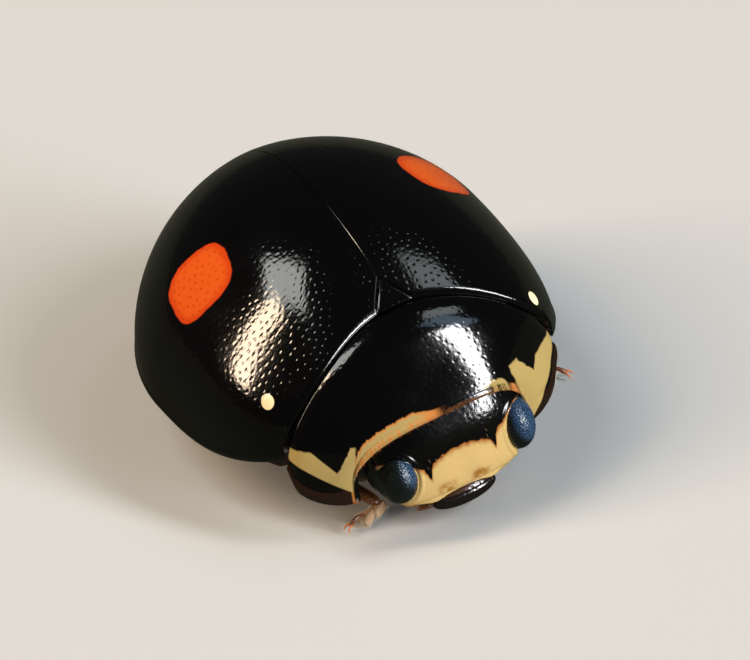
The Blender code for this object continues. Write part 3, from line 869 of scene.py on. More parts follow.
def makeBelly(name, part):
    # the plates of the underside, each ring overlapping the next like a shallow step
    u, v = grid(np.linspace(0, 1, 150), np.linspace(-1, 1, 120))
    y = mix(part["start"], part["end"], v)
    x = u * np.maximum(outlineX(y) - belly["tuck"], 0.02)
    across = np.abs(u)
    z = 0.08 - belly["depth"] * (1 - across**2.4) * smooth(3.05, 2.2, y) - 0.02
    step = np.zeros(z.shape)
    for at in part["rings"]:
        behind = y - (at + 0.06 * across**2)
        rise = smooth(0.0, 0.012, behind)
        fall = smooth(0.012, 0.22, behind)
        step += belly["ringStep"] * rise - belly["ringStep"] * fall
    hairs = smooth(0.98, 0.9, across)
    points = np.stack((x, y, z + step), -1)
    return slab(name, points, belly["thickness"], {"dimpleShare": hairs, "bristleShare": hairs})


# The legs

leg = {
    "hipZ": -0.20, "kneeZ": -0.26, "ankleHeight": 0.075, "femurWidth": 0.115, "femurFlatness": 0.55,
    "tibiaWidth": 0.060, "tibiaFlatness": 0.72, "lastWidth": 0.018, "lastStart": 0.16, "lastLength": 0.15,
    "clawLength": 0.065, "clawSpread": 0.022, "clawGirth": 0.010,
    # start, length, half width, height and depth of the notch of each heart-shaped segment of a foot
    "lobes": ((-0.06, 0.16, 0.060, 0.075, 0.20), (0.06, 0.17, 0.080, 0.060, 0.42)),
}
# Hip, knee, ankle and toe of each leg seen from above, +X outwards
legPlans = {
    "front_right": ((0.26, 0.40), (0.84, 0.38), (0.54, -0.20), (0.76, -0.245)),
    "front_left": ((0.26, 0.40), (0.86, 0.44), (0.58, 0.18), (0.70, 0.12)),
    "middle_right": ((0.30, 0.92), (0.90, 0.98), (1.02, 1.40), (1.20, 1.60)),
    "middle_left": ((0.30, 0.92), (0.92, 0.96), (1.255, 0.525), (1.465, 0.315)),
    "hind_right": ((0.30, 1.48), (0.68, 1.86), (0.92, 2.16), (1.08, 2.36)),
    "hind_left": ((0.30, 1.48), (0.66, 1.92), (0.76, 2.30), (0.90, 2.52)),
}


def makeThigh(hip, knee):
    t = np.linspace(0, 1, 60)
    path = curvePath((hip, mix(hip, knee, 0.5) + np.array((0, 0, 0.03)), knee), 60)
    swell = 0.62 + 0.38 * np.sin(np.clip(t * 1.1, 0, 1) * math.pi) ** 0.8
    wide = leg["femurWidth"] * swell * roundEnds(t, 10)
    hairs = {"bristleShare": np.repeat(smooth(0.1, 0.3, t), 28)}
    return sweep("femur", path, wide, wide * leg["femurFlatness"], 28, hairs)


def makeShin(knee, ankle, side):
    t = np.linspace(0, 1, 60)
    start = knee + np.array((0, 0, -0.02))
    path = curvePath((start, mix(start, ankle, 0.5) + np.array((side * 0.02, 0, 0.02)), ankle), 60)
    girth = np.interp(t, (0, 0.15, 0.7, 1), (0.75, 0.85, 1.0, 0.9))
    girth = leg["tibiaWidth"] * girth * roundEnds(t, 10)
    hairs = {"bristleShare": np.repeat(smooth(0, 0.5, t), 24)}
    return sweep("tibia", path, girth, girth * leg["tibiaFlatness"], 24, hairs)


def makeLobe(name, ankle, ahead, beside, lobe):
    # one heart-shaped segment of a foot, flat below, with two lobes at its front
    begin, length, width, height, notch = lobe
    u, v = grid(np.linspace(0, 1, 30), np.linspace(-1, 1, 31))
    reach = length * (1 - notch * hill(u, 0, 0.28))
    reach = reach * (1 - 0.22 * np.abs(u) ** 3)
    along = begin + reach * v
    side = u * width * (0.30 + 0.70 * v**0.8)
    ends = np.clip(np.abs(v - 0.5) / 0.5, 0, 1) ** 5
    domed = np.sqrt(np.clip(1 - np.abs(u) ** 2.6, 0, 1) * np.clip(1 - ends, 0, 1))
    z = floorZ + 0.012 + height * domed * mix(1.1, 0.75, v)
    flat = ankle + ahead * along[..., None] + beside * side[..., None]
    top = np.concatenate((flat, z[..., None]), -1)
    under = top.copy()
    under[..., 2] = floorZ + 0.002 + 0.010 * (1 - v)
    low = smooth(0.8, 1.0, np.maximum(np.abs(u), v)).ravel()
    uv = np.stack((u / 2 + 0.5, v), -1).reshape(-1, 2)
    points = np.concatenate((top.reshape(-1, 3), under.reshape(-1, 3)))
    hairs = {"bristleShare": np.concatenate((low, low * 0 + 1))}
    return makePiece(name, points, plateFaces(*z.shape), np.concatenate((uv, uv)), hairs)


def makeLastSegment(ankle, ahead):
    t = np.linspace(0, 1, 40)
    along = ankle[None] + ahead[None] * (leg["lastStart"] + leg["lastLength"] * t)[:, None]
    z = floorZ + 0.055 + 0.03 * np.sin(t * math.pi) - 0.01 * t
    girth = leg["lastWidth"] * np.interp(t, (0, 1), (0.7, 1.15)) * roundEnds(t, 12)
    return sweep("last", np.column_stack((along, z)), girth, girth, 16)


def makeClaw(ankle, ahead, beside, way):
    t = np.linspace(0, 1, 24)
    base = ankle + ahead * (leg["lastStart"] + leg["lastLength"] - 0.01) + beside * way * 0.012
    out = base[None] + ahead[None] * (leg["clawLength"] * np.sin(t * 1.25))[:, None]
    out = out + beside[None] * (way * leg["clawSpread"] * t)[:, None]
    z = floorZ + 0.048 + 0.012 * np.sin(t * math.pi) - 0.044 * t**1.6
    girth = leg["clawGirth"] * (1 - t) ** 0.7 + 0.0015
    return sweep("claw", np.column_stack((out, z)), girth, girth, 10)


def makeLeg(plan, side):
    hip, knee, ankle, toe = (np.array((x * side, y)) for x, y in plan)
    heights = (leg["hipZ"], leg["kneeZ"], floorZ + leg["ankleHeight"])
    hipAt, kneeAt, ankleAt = (np.array((*at, z)) for at, z in zip((hip, knee, ankle), heights))
    ahead = unit(toe - ankle)
    beside = np.array((-ahead[1], ahead[0]))
    parts = [makeThigh(hipAt, kneeAt), makeShin(kneeAt, ankleAt, side)]
    for k, lobe in enumerate(leg["lobes"]):
        parts.append(makeLobe("lobe%d" % k, ankle, ahead, beside, lobe))
    parts.append(makeLastSegment(ankle, ahead))
    return parts, [makeClaw(ankle, ahead, beside, way) for way in (-1, 1)]


# Masks and grain that the finishes share

def shaderGroup(name, inputs, outputs):
    return openTree(name, "ShaderNodeTree", inputs, outputs)


def makePlaceGroup():
    # body coordinates in millimetres from an object position; Aside is the distance from the middle line
    outputs = {"X": "Float", "Aside": "Float", "Y": "Float", "Z": "Float", "Point": "Vector"}
    tree, wire, given, result = shaderGroup("body place", {"Position": "Vector"}, outputs)
    moved = wire.vector("SUBTRACT", given["Position"], tuple(float(v) for v in bodyOrigin))
    scaled = wire.vector("SCALE", moved, scale=1 / mm)
    parts = wire.node("ShaderNodeSeparateXYZ", {0: scaled}).outputs
    for axis in "XYZ":
        wire.feed(result[axis], parts[axis])
    wire.feed(result["Aside"], wire.math("ABSOLUTE", parts["X"]))
    wire.feed(result["Point"], scaled)
    return tree


def makeGrainGroup():
    # the fine leathery grain of the cuticle: a height for bumps and slow changes of tone and gloss
    inputs = {"Point": "Vector", "Scale": "Float"}
    outputs = {"Height": "Float", "Tone": "Float", "Roughness": "Float"}
    tree, wire, given, result = shaderGroup("cuticle grain", inputs, outputs)
    cells = {"Vector": given["Point"], "Scale": given["Scale"]}
    fine = wire.node("ShaderNodeTexVoronoi", cells, feature="SMOOTH_F1")
    slow = wire.noise(given["Point"], 4.0, 5.0)
    wire.feed(result["Height"], fine.outputs["Distance"])
    wire.feed(result["Tone"], slow)
    wire.feed(result["Roughness"], wire.ramp(slow, 0.3, 0.7, 0.075, 0.11))
    return tree


spot = {
    "centre": (1.09, 1.36, 1.07), "slope": (0.73, -0.68), "shift": (0.004, -0.0066), "turn": 0.285,
    "half": (0.332, 0.278), "power": 2.82, "wave": 0.10, "soft": 0.022,
    "colour": (0.54, 0.078, 0.008), "rimColour": (0.46, 0.040, 0.004), "pitShadeColour": (0.32, 0.026, 0.003),
}


def makeSpotGroup():
    # the orange spot in the rear half of each wing case: a squarish oval lying in the slope of the dome
    inputs = {"Point": "Vector", "Aside": "Float", "Y": "Float", "Z": "Float"}
    tree, wire, given, result = shaderGroup("orange spot", inputs, {"Mask": "Float", "Rim": "Float"})
    cx, cy, cz = spot["centre"]
    tilt = math.hypot(*spot["slope"])
    ax, az = spot["slope"][0] / tilt, spot["slope"][1] / tilt
    across = wire.times(wire.minus(given["Aside"], cx), ax)
    across = wire.plus(across, wire.times(wire.minus(given["Z"], cz), az))
    x = wire.plus(across, spot["shift"][0])
    y = wire.plus(wire.minus(given["Y"], cy), spot["shift"][1])
    cosine, sine = math.cos(spot["turn"]), math.sin(spot["turn"])
    u = wire.plus(wire.times(x, cosine), wire.times(y, sine))
    w = wire.minus(wire.times(y, cosine), wire.times(x, sine))

    def raised(value, half):
        return wire.math("POWER", wire.math("DIVIDE", wire.math("ABSOLUTE", value), half), spot["power"])

    both = wire.plus(raised(u, spot["half"][0]), raised(w, spot["half"][1]))
    away = wire.math("POWER", both, 1 / spot["power"])
    away = wire.plus(away, wire.wave(given["Point"], 9.0, 2.0, spot["wave"]))
    wire.feed(result["Mask"], wire.ramp(away, 1.0 + spot["soft"], 1.0 - spot["soft"]))
    wire.feed(result["Rim"], wire.ramp(away, 0.72, 1.0))
    return tree


def makeGlintGroup():
    # the two small painted highlights near the front corners of the wing cases: pale discs that stand in for
    # a lamp's reflection
    tree, wire, given, result = shaderGroup("painted glint", {"Point": "Vector"}, {"Mask": "Float"})
    left = wire.vector("DISTANCE", given["Point"], glintDisc["left"], out="Value")
    right = wire.vector("DISTANCE", given["Point"], glintDisc["right"], out="Value")
    away = wire.math("MINIMUM", left, right)
    wire.feed(result["Mask"], wire.ramp(away, glintDisc["radius"] * 1.06, glintDisc["radius"] * 0.94))
    return tree


mark = {
    "notch": (0.964, 0.239), "outerSlope": 1.44, "innerSlope": 1.38, "cap": 0.435, "low": (0.867, 0.013),
    "lowSlope": 0.875, "edgeSlope": 0.19, "wave": 0.03, "leftShift": (0.09, -0.09), "leftCap": -0.11,
    "leftReach": 0.06, "colour": (0.31, 0.22, 0.075),
}


def makeMarkGroup():
    # the cream mark on each side of the pronotum: a low heart whose upper edge dips to a notch
    inputs = {"X": "Float", "Z": "Float", "Point": "Vector"}
    tree, wire, given, result = shaderGroup("collar mark", inputs, {"Mask": "Float"})
    wave = wire.wave(given["Point"], 14.0, 3.0, mark["wave"])
    left = wire.math("GREATER_THAN", given["X"], 0.0)
    aside = wire.plus(wire.math("ABSOLUTE", given["X"]), wave)
    high = wire.plus(given["Z"], wave)
    shiftedX = wire.plus(aside, wire.times(left, mark["leftShift"][0]))
    shiftedZ = wire.plus(high, wire.times(left, mark["leftShift"][1]))

    # the upper edge rises to both sides of the notch, up to a cap
    fromNotch = wire.minus(shiftedX, mark["notch"][0])
    outward = wire.times(fromNotch, mark["outerSlope"])
    inward = wire.times(fromNotch, -mark["innerSlope"])
    top = wire.plus(wire.math("MAXIMUM", outward, inward), mark["notch"][1])
    outer = wire.times(left, wire.math("GREATER_THAN", fromNotch, 0.0))
    top = wire.math("MINIMUM", top, wire.math("MULTIPLY_ADD", outer, mark["leftCap"], mark["cap"]))
    below = wire.ramp(wire.minus(top, shiftedZ), -0.010, 0.010)

    # the lower edge slopes, and the inner edge is nearly upright
    bottom = wire.times(wire.minus(aside, mark["low"][0]), mark["lowSlope"])
    above = wire.ramp(wire.minus(high, wire.plus(bottom, mark["low"][1])), -0.008, 0.008)
    edge = wire.times(wire.minus(shiftedZ, mark["low"][1]), mark["edgeSlope"])
    edge = wire.minus(mark["low"][0], edge)
    inner = wire.math("MULTIPLY_ADD", left, mark["leftReach"], wire.minus(shiftedX, edge))
    outside = wire.ramp(inner, -0.010, 0.010)
    wire.feed(result["Mask"], wire.times(wire.times(below, above), outside))
    return tree


face = {
    "top": 0.15, "fall": 0.9, "shift": 0.02, "rise": 1.29, "wave": 0.06,
    "notches": ((-0.27, 0.095), (0.33, 0.10)), "notchBreadth": 0.022, "blotch": (0.15, -0.17),
    "colour": (0.45, 0.305, 0.115), "edgeColour": (0.26, 0.085, 0.016), "blotchColour": (0.25, 0.11, 0.018),
}


def makeFaceGroup():
    # the cream face below the black crown, with its two ochre blotches
    inputs = {"Point": "Vector", "X": "Float", "Aside": "Float", "Y": "Float", "Z": "Float"}
    outputs = {"Mask": "Float", "Edge": "Float", "Blotch": "Float"}
    tree, wire, given, result = shaderGroup("pale face", inputs, outputs)
    x = wire.minus(given["X"], face["shift"])
    top = wire.minus(face["top"], wire.times(wire.times(x, x), face["fall"]))
    rise = wire.times(wire.math("MAXIMUM", wire.minus(given["Aside"], 0.30), 0.0), face["rise"])
    top = wire.plus(wire.plus(top, rise), wire.wave(given["Point"], 22.0, 4.0, face["wave"]))
    for at, depth in face["notches"]:
        off = wire.math("DIVIDE", wire.minus(given["X"], at), face["notchBreadth"])
        dip = wire.math("EXPONENT", wire.times(wire.times(off, off), -1.0))
        top = wire.minus(top, wire.times(dip, depth))
    under = wire.minus(top, given["Z"])
    front = wire.ramp(given["Y"], -0.50, -0.56)
    wire.feed(result["Mask"], wire.times(wire.ramp(under, -0.008, 0.012), front))
    wire.feed(result["Edge"], wire.ramp(under, 0.055, 0.0))
    blotchAside, blotchZ = face["blotch"]
    low = wire.ramp(wire.math("ABSOLUTE", wire.minus(given["Z"], blotchZ)), 0.085, 0.02)
    wide = wire.ramp(wire.math("ABSOLUTE", wire.minus(given["Aside"], blotchAside)), 0.11, 0.03)
    spots = wire.ramp(wire.noise(given["Point"], 16.0, 3.0), 0.35, 0.6)
    wire.feed(result["Blotch"], wire.times(wire.times(low, wide), spots))
    return tree


placeGroup = makePlaceGroup()
grainGroup = makeGrainGroup()
spotGroup = makeSpotGroup()
glintGroup = makeGlintGroup()
markGroup = makeMarkGroup()
faceGroup = makeFaceGroup()


# Finishes

colours = {
    "black": (0.0009, 0.0008, 0.0008), "brown": (0.012, 0.0055, 0.003), "darkBrown": (0.035, 0.013, 0.006),
    "lipBrown": (0.006, 0.004, 0.003), "eye": (0.004, 0.007, 0.006), "eyeSeamShade": (0.003, 0.005, 0.006),
    "eyeTealSheen": (0.010, 0.030, 0.023), "eyeSheen": (0.024, 0.055, 0.110), "amber": (0.42, 0.15, 0.035),
}
# Fineness, strength and depth in metres of the cuticle's grain
grains = {
    "case": (40.0, 0.30, 2e-6), "collar": (42.0, 0.20, 2e-6), "head": (100.0, 0.15, 3e-6),
    "lip": (90.0, 0.20, 3e-6), "plain": (90.0, 0.30, 4e-6),
}
# Roughness and index of refraction
gloss = {
    "shell": (0.15, 1.42), "head": (0.13, 1.42), "eye": (0.24, 1.42), "lip": (0.18, 1.5),
}
# Name, darker and lighter colour, and roughness of the limbs and the underside
plainFinishes = {
    "palp": ("brown palp", (0.09, 0.03, 0.012), (0.16, 0.06, 0.02), 0.35),
    "feeler": ("amber feeler", (0.27, 0.07, 0.018), colours["amber"], 0.35),
    "belly": ("dark underside", (0.012, 0.008, 0.006), colours["darkBrown"], 0.35),
    "leg": ("brown leg", (0.10, 0.032, 0.010), (0.16, 0.055, 0.017), 0.30),
    "claw": ("orange claw", (0.45, 0.12, 0.02), (0.62, 0.20, 0.04), 0.30),
    "pad": ("pale foot lobe", (0.20, 0.085, 0.035), (0.42, 0.25, 0.135), 0.45),
}
# Name, colour and roughness of the bristles
hairFinishes = {
    "pale": ("pale bristle", (0.80, 0.66, 0.42), 0.45),
    "face": ("cream face bristle", (0.48, 0.33, 0.14), 0.45),
    "pad": ("pale pad hair", (0.85, 0.76, 0.58), 0.55),
    "amber": ("amber bristle", colours["amber"], 0.45),
}


def newMaterial(name, colour, roughness, ior=1.5):
    material = bpy.data.materials.new(name)
    material.use_nodes = True
    shader = material.node_tree.nodes["Principled BSDF"]
    shader.inputs["Base Color"].default_value = (*colour, 1)
    shader.inputs["Roughness"].default_value = roughness
    shader.inputs["IOR"].default_value = ior
    material.diffuse_color = (*colour, 1)
    return material, Wiring(material.node_tree), shader.inputs


def placeOf(wire):
    where = wire.node("ShaderNodeTexCoord").outputs["Object"]
    return wire.node("ShaderNodeGroup", {"Position": where}, node_tree=placeGroup).outputs


def useGroup(wire, group, place):
    # a group whose inputs are fed with the parts of the place that they are named for
    made = wire.node("ShaderNodeGroup", node_tree=group)
    for socket in made.inputs:
        if socket.name in place:
            wire.feed(socket, place[socket.name])
    return made


def addGrain(wire, inputs, place, kind):
    scale, strength, depth = grains[kind]
    grain = useGroup(wire, grainGroup, place)
    grain.inputs["Scale"].default_value = scale
    relief = {"Strength": strength, "Distance": depth, "Height": grain.outputs["Height"]}
    wire.feed(inputs["Normal"], wire.node("ShaderNodeBump", relief).outputs["Normal"])
    return grain.outputs


def attributeOf(wire, name):
    return wire.node("ShaderNodeAttribute", attribute_name=name).outputs["Fac"]


def makeCaseFinish():
    material, wire, inputs = newMaterial("polished black wing case", colours["black"], *gloss["shell"])
    place = placeOf(wire)
    spotMask = useGroup(wire, spotGroup, place).outputs
    glintMask = useGroup(wire, glintGroup, place).outputs["Mask"]
    orange = wire.colour(spotMask["Rim"], spot["colour"], spot["rimColour"])
    # painted shade: the orange is darker inside the pits
    orange = wire.colour(attributeOf(wire, "dimple"), orange, spot["pitShadeColour"])
    colour = wire.colour(spotMask["Mask"], colours["black"], orange)
    # painted highlight: the pale discs stand in for a lamp's reflection on the shoulders
    wire.feed(inputs["Base Color"], wire.colour(glintMask, colour, glintDisc["colour"]))
    wire.feed(inputs["Roughness"], addGrain(wire, inputs, place, "case")["Roughness"])
    return material


def makeCollarFinish():
    material, wire, inputs = newMaterial("polished black pronotum", colours["black"], *gloss["shell"])
    place = placeOf(wire)
    colour = wire.colour(attributeOf(wire, "rimShare"), colours["black"], colours["brown"])
    colour = wire.colour(attributeOf(wire, "amberShare"), colour, colours["amber"])
    colour = wire.colour(attributeOf(wire, "bandShare"), colour, mark["colour"])
    markMask = useGroup(wire, markGroup, place).outputs["Mask"]
    markMask = wire.times(markMask, attributeOf(wire, "outerShare"))  # the mark is on the outer face only
    wire.feed(inputs["Base Color"], wire.colour(markMask, colour, mark["colour"]))
    wire.feed(inputs["Roughness"], addGrain(wire, inputs, place, "collar")["Roughness"])
    return material


def makeHeadFinish():
    material, wire, inputs = newMaterial("black crown and cream face", colours["black"], *gloss["head"])
    place = placeOf(wire)
    masks = useGroup(wire, faceGroup, place).outputs
    cream = wire.colour(masks["Edge"], face["colour"], face["edgeColour"])
    cream = wire.colour(masks["Blotch"], cream, face["blotchColour"])
    # painted shade: the cream face is darker inside the pits
    pitShade = wire.ramp(attributeOf(wire, "dimple"), 0.0, 1.0, 0.0, 0.35)
    cream = wire.colour(pitShade, cream, face["edgeColour"])
    wire.feed(inputs["Base Color"], wire.colour(masks["Mask"], colours["black"], cream))
    addGrain(wire, inputs, place, "head")
    return material


def makeEyeFinish():
    # black facets with a painted teal sheen towards the back and below and a painted blue sheen towards the
    # front and above
    material, wire, inputs = newMaterial("dark facetted eye", colours["eye"], *gloss["eye"])
    place = placeOf(wire)
    side = wire.math("GREATER_THAN", place["X"], eye["shift"])
    middle = wire.math("MULTIPLY_ADD", side, 2 * eye["centre"][0], eye["shift"] - eye["centre"][0])
    lean = wire.times(wire.minus(place["X"], middle), 0.45 / eye["half"][0])
    forward = wire.minus(place["Y"], eye["centre"][1])
    lean = wire.math("MULTIPLY_ADD", forward, -0.75 / eye["half"][1], lean)
    lean = wire.math("MULTIPLY_ADD", place["Z"], 0.5 / eye["half"][2], lean)
    lean = wire.math("MULTIPLY_ADD", side, 0.22, lean)
    # painted sheen: teal towards the back and below, blue towards the front and above
    colour = wire.colour(wire.ramp(lean, 0.15, -0.25), colours["eye"], colours["eyeTealSheen"])
    colour = wire.colour(wire.ramp(lean, 0.72, 1.02), colour, colours["eyeSheen"])
    # painted shade: darker in the seams between the facets
    dome = wire.ramp(attributeOf(wire, "dimple"), 0.0, 0.6, 0.4, 1.0)
    wire.feed(inputs["Base Color"], wire.colour(dome, colours["eyeSeamShade"], colour))
    return material


def makeLipFinish():
    # nearly black, with a brown line along its upper edge
    material, wire, inputs = newMaterial("dark brown lip", colours["lipBrown"], *gloss["lip"])
    place = placeOf(wire)
    line = wire.ramp(place["Z"], *lip["lineZ"])
    wire.feed(inputs["Base Color"], wire.colour(line, colours["lipBrown"], colours["darkBrown"]))
    addGrain(wire, inputs, place, "lip")
    return material


def makePlainFinish(name, dark, light, roughness):
    material, wire, inputs = newMaterial(name, light, roughness)
    tone = addGrain(wire, inputs, placeOf(wire), "plain")["Tone"]
    wire.feed(inputs["Base Color"], wire.colour(wire.ramp(tone, 0.35, 0.65), dark, light))
    return material


caseFinish = makeCaseFinish()
collarFinish = makeCollarFinish()
headFinish = makeHeadFinish()
eyeFinish = makeEyeFinish()
lipFinish = makeLipFinish()
plain = {kind: makePlainFinish(*values) for kind, values in plainFinishes.items()}
hair = {kind: newMaterial(*values)[0] for kind, values in hairFinishes.items()}
print("finishes ready")


# The beetle put together

# Spacing, length and thickness of the bristles of each coat, which way they lie and how much, and a seed
coats = {
    "pronotumFringe": {"sizes": (0.011, 0.030, 0.0015), "along": (0, -0.5, -0.9), "lean": 0.8, "seed": 3},
    "faceBristles": {"sizes": (0.045, 0.034, 0.0010), "along": (0, -0.5, -0.85), "lean": 0.75, "seed": 4},
    "lipFringe": {"sizes": (0.020, 0.030, 0.0012), "along": (0, -0.3, -1), "lean": 0.8, "seed": 5},
    "bellyBristles": {"sizes": (0.05, 0.07, 0.002), "along": (0, 0.9, -0.3), "lean": 0.8, "seed": 6},
}
legCoats = (
    {"sizes": (0.045, 0.035, 0.0013), "hair": "amber", "lean": 0.8, "seed": 20},
    {"sizes": (0.024, 0.035, 0.0013), "hair": "pale", "lean": 0.8, "seed": 21},
    {"sizes": (0.0075, 0.030, 0.0016), "hair": "pad", "lean": 0.3, "seed": 24},
    {"sizes": (0.0075, 0.030, 0.0016), "hair": "pad", "lean": 0.3, "seed": 25},
)
untidiness = 0.15
tipBend = 0.15  # how far a tip bends aside, as a share of the bristle's length
mapCells = 5  # the coats of the legs share one bake map and lie in five by five cells of it


def dimpled(thing, material, pits, seed):
    settings = {label.capitalize(): size * mm for label, size in pits.items()}
    return runTree(thing, dimpleTree, {**settings, "Seed": seed, "Material": material})


def wearFinish(thing, material):
    thing.data.materials.clear()
    thing.data.materials.append(material)
    return thing


def growCoat(name, thing, material, coat, along, cell=None):
    # a coat piece of its own, grown from a finished piece; cell is its place where coats share one map
    grown = linkObject(name, thing.data.copy())
    grown.data.name = name
    spacing, length, thickness = coat["sizes"]
    corner = (0.0, 0.0, 0.0)
    if cell is not None:
        corner = (cell % mapCells / mapCells, cell // mapCells / mapCells, 0.0)
    runTree(grown, bristleTree, {
        "Spacing": spacing * mm, "Length": length * mm, "Thickness": thickness * mm,
        "Bend": tipBend / (thickness / length), "Lean": coat["lean"], "Along": along, "Untidy": untidiness,
        "Seed": coat["seed"], "Material": material, "Map Corner": corner,
        "Map Share": 1.0 if cell is None else 0.95 / mapCells,
    })
    print(name, len(grown.data.polygons), "faces")
    return grown


def keep(thing, slot, *nodes):
    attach(thing, "root")
    if nodes:
        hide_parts(*nodes)


def keepCoat(name, thing, kind):
    keep(growCoat(name, thing, hair[kind], coats[name], coats[name]["along"]), None)


bothSides = (("Left", 1), ("Right", -1))
for label, side in bothSides:
    case = dimpled(makeWingCase("wingCase" + label, side), caseFinish, shell["pits"], 11 if side > 0 else 12)
    keep(case, "wing_case", "elytron_" + label.lower())
collarPiece = dimpled(makeCollar(), collarFinish, collar["pits"], 5)
keep(collarPiece, "pronotum", "pronotum")
keepCoat("pronotumFringe", collarPiece, "amber")
keep(dimpled(makeScutellum(), caseFinish, scutellum["pits"], 6), "scutellum", "scutellum")
print("shell ready")

headPiece = dimpled(makeHead(), headFinish, head["pits"], 7)
keep(headPiece, "head", "head")
keepCoat("faceBristles", headPiece, "face")
for label, side in bothSides:
    keep(dimpled(makeEye("eye" + label, side), eyeFinish, eye["facets"], 8), "eye", "eye_" + label.lower())
lipPiece = dimpled(makeLip(), lipFinish, lip["pits"], 9)
keep(lipPiece, "mouthparts", "labrum")
keepCoat("lipFringe", lipPiece, "amber")
for label, side in bothSides:
    palpPiece = wearFinish(makePalp("palp" + label, side), plain["palp"])
    keep(palpPiece, "mouthparts", "palp_" + label.lower())
    feelerPiece = makeFeeler("feeler" + label, side, plain["feeler"])
    keep(feelerPiece, "feeler", "antenna_" + label.lower())
print("head ready")

breastPiece = dimpled(makeBelly("breastPlates", belly["breast"]), plain["belly"], belly["pits"], 13)
keep(breastPiece, "underside", "thorax")
rearPiece = dimpled(makeBelly("bellyRings", belly["rear"]), plain["belly"], belly["pits"], 14)
keep(rearPiece, "underside", "abdomen")
throatPiece = lump("throatPlate", throat["centre"], throat["half"], throat["powers"], 60, 80)
keep(wearFinish(throatPiece, plain["belly"]), "underside", "prosternum")
keepCoat("bellyBristles", rearPiece, "pale")
print("underside ready")

legs = []
for name, plan in legPlans.items():
    side = 1 if name.endswith("left") else -1
    legs.append((name, side, *makeLeg(plan, side)))
legHairs = []
for name, side, parts, claws in legs:
    title = "".join(word.capitalize() for word in name.split("_"))
    for thing, kind in zip(parts, ("leg", "leg", "pad", "pad", "leg")):
        wearFinish(thing, plain[kind])
    for thing, coat in zip(parts, legCoats):
        outward = (0.8 * side, 0.0, -0.5)
        legHairs.append(growCoat("hairs", thing, hair[coat["hair"]], coat, outward, cell=len(legHairs)))
    keep(joinPieces("leg" + title, parts), "leg", "femur_" + name, "tibia_" + name, "tarsus_" + name)
    for thing in claws:
        wearFinish(thing, plain["claw"])
    keep(joinPieces("claws" + title, claws), "leg")
keep(joinPieces("legBristles", legHairs), None)
print("legs ready")


# The floor, the lamps and the camera

stage = {
    "floorRadius": 0.16, "floorDrop": 0.00002, "floorColour": (0.41, 0.415, 0.415), "floorRoughness": 0.8,
    "paintedReflectionColour": (0.050, 0.055, 0.044), "skyColour": (0.84, 0.86, 0.88), "skyGlow": 0.05,
    "backdropGlow": 0.9, "lampDistance": 0.120, "lampTarget": (0, -0.0001, 0.001),
}
# Azimuth and elevation, the degrees that it spans seen from the beetle, radiance, colour and roll
lamps = {
    "leftKey": (-117, 36, 9, 52, 42.0, (1.0, 0.77, 0.55), 6),
    "leftFill": (-138, 64, 20, 26, 10.0, (0.95, 0.97, 0.92), 0),
    "rightKey": (33, 23, 11, 56, 46.0, (0.98, 0.99, 1.0), -14),
    "rightRise": (54, 50, 14, 26, 3.4, (0.55, 0.76, 1.0), -14),
    "rightFill": (84, 58, 22, 16, 3.8, (0.86, 0.95, 0.96), 0),
}
view = {
    "azimuth": -23.16, "elevation": 39.14, "roll": -9.70, "lens": 539.9, "distance": 89.6,
    "aside": -0.34176, "above": 0.69952,
}


def mixByRay(tree, ray, plainShader, rayShader, end):
    # the second shader is seen by one kind of ray and the first by all others
    wire = Wiring(tree)
    share = wire.node("ShaderNodeLightPath").outputs[ray]
    chosen = wire.node("ShaderNodeMixShader", {0: share, 1: plainShader, 2: rayShader})
    wire.feed(tree.nodes[end].inputs["Surface"], chosen.outputs[0])


def makeFloor():
    turn = np.linspace(0, 2 * math.pi, 96, endpoint=False)
    points = np.stack((np.cos(turn), np.sin(turn), 0 * turn), -1) * stage["floorRadius"]
    points[:, 2] = cadLow.z - stage["floorDrop"]
    mesh = bpy.data.meshes.new("floor")
    mesh.from_pydata(points.tolist(), [], [list(range(96))])
    material, wire, _ = newMaterial("pale matt floor", stage["floorColour"], stage["floorRoughness"])
    # painted reflection: glossy rays see a dark floor, so the shell mirrors a darker floor than the camera
    # sees, as on a dark cloth
    mirrored = wire.node("ShaderNodeBsdfDiffuse", {"Color": (*stage["paintedReflectionColour"], 1)})
    tree = material.node_tree
    lit = tree.nodes["Principled BSDF"].outputs[0]
    mixByRay(tree, "Is Glossy Ray", lit, mirrored.outputs[0], "Material Output")
    return wearFinish(linkObject("floor", mesh), material)


def direction(azimuth, elevation):
    a, e = math.radians(azimuth), math.radians(elevation)
    return Vector((math.sin(a) * math.cos(e), -math.cos(a) * math.cos(e), math.sin(e)))


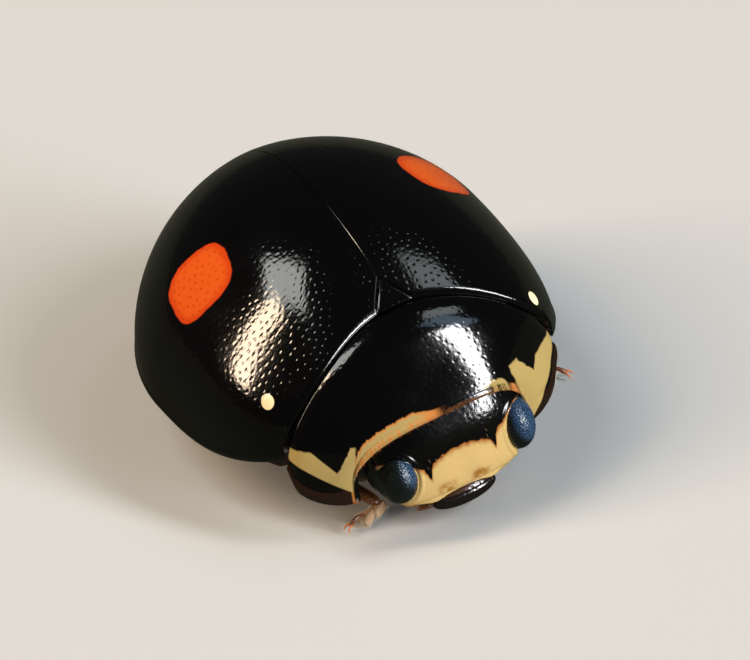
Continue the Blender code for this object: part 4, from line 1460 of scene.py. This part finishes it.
def addLamp(name, azimuth, elevation, wide, tall, radiance, colour, roll):
    # a softbox that faces the beetle and fades towards its edges
    light = bpy.data.lights.new(name, "AREA")
    light.shape = "RECTANGLE"
    light.size = 2 * stage["lampDistance"] * math.tan(math.radians(wide / 2))
    light.size_y = 2 * stage["lampDistance"] * math.tan(math.radians(tall / 2))
    light.energy = radiance * math.pi * light.size * light.size_y
    light.color = colour
    light.use_nodes = True
    wire = Wiring(light.node_tree)
    place = wire.node("ShaderNodeSeparateXYZ", {0: wire.node("ShaderNodeNewGeometry").outputs["Parametric"]})
    nearEdge = [wire.math("PINGPONG", place.outputs[k], 0.5) for k in (0, 1)]
    glow = wire.times(wire.ramp(nearEdge[0], 0.0, 0.24), wire.ramp(nearEdge[1], 0.0, 0.12))
    wire.feed(light.node_tree.nodes["Emission"].inputs["Strength"], glow)
    lamp = linkObject(name, light)
    back = direction(azimuth, elevation)
    lamp.location = Vector(stage["lampTarget"]) + back * stage["lampDistance"]
    lamp.rotation_euler = back.to_track_quat("Z", "Y").to_euler()
    lamp.rotation_euler.rotate_axis("Z", math.radians(roll))
    lamp.visible_camera = False


def makeSky():
    world = bpy.data.worlds.new("studio")
    bpy.context.scene.world = world
    world.use_nodes = True
    tree = world.node_tree
    background = tree.nodes["Background"]
    background.inputs["Color"].default_value = (*stage["skyColour"], 1)
    background.inputs["Strength"].default_value = stage["skyGlow"]
    seen = {"Color": (*stage["skyColour"], 1), "Strength": stage["backdropGlow"]}
    backdrop = Wiring(tree).node("ShaderNodeBackground", seen)
    mixByRay(tree, "Is Camera Ray", background.outputs[0], backdrop.outputs[0], "World Output")


def makeCamera():
    azimuth, roll = math.radians(view["azimuth"]), math.radians(view["roll"])
    back = direction(view["azimuth"], view["elevation"])
    level = Vector((math.cos(azimuth), math.sin(azimuth), 0))
    up = back.cross(level)
    right = math.cos(roll) * level + math.sin(roll) * up
    above = -math.sin(roll) * level + math.cos(roll) * up
    target = Vector(bodyOrigin) + (right * view["aside"] + above * view["above"]) * mm
    lens = bpy.data.cameras.new("camera")
    lens.sensor_width = 36
    lens.lens = view["lens"]
    lens.clip_start = 0.001
    camera = linkObject("camera", lens)
    columns = (right, above, back, target + back * view["distance"] * mm)
    placed = Matrix([(*column, 0) for column in columns]).transposed()
    placed[3] = (0, 0, 0, 1)
    camera.matrix_world = placed
    bpy.context.scene.camera = camera


floor = makeFloor()
for name, values in lamps.items():
    addLamp(name, *values)
makeSky()
makeCamera()
bpy.context.scene.view_settings.view_transform = "Standard"
print("stage ready")
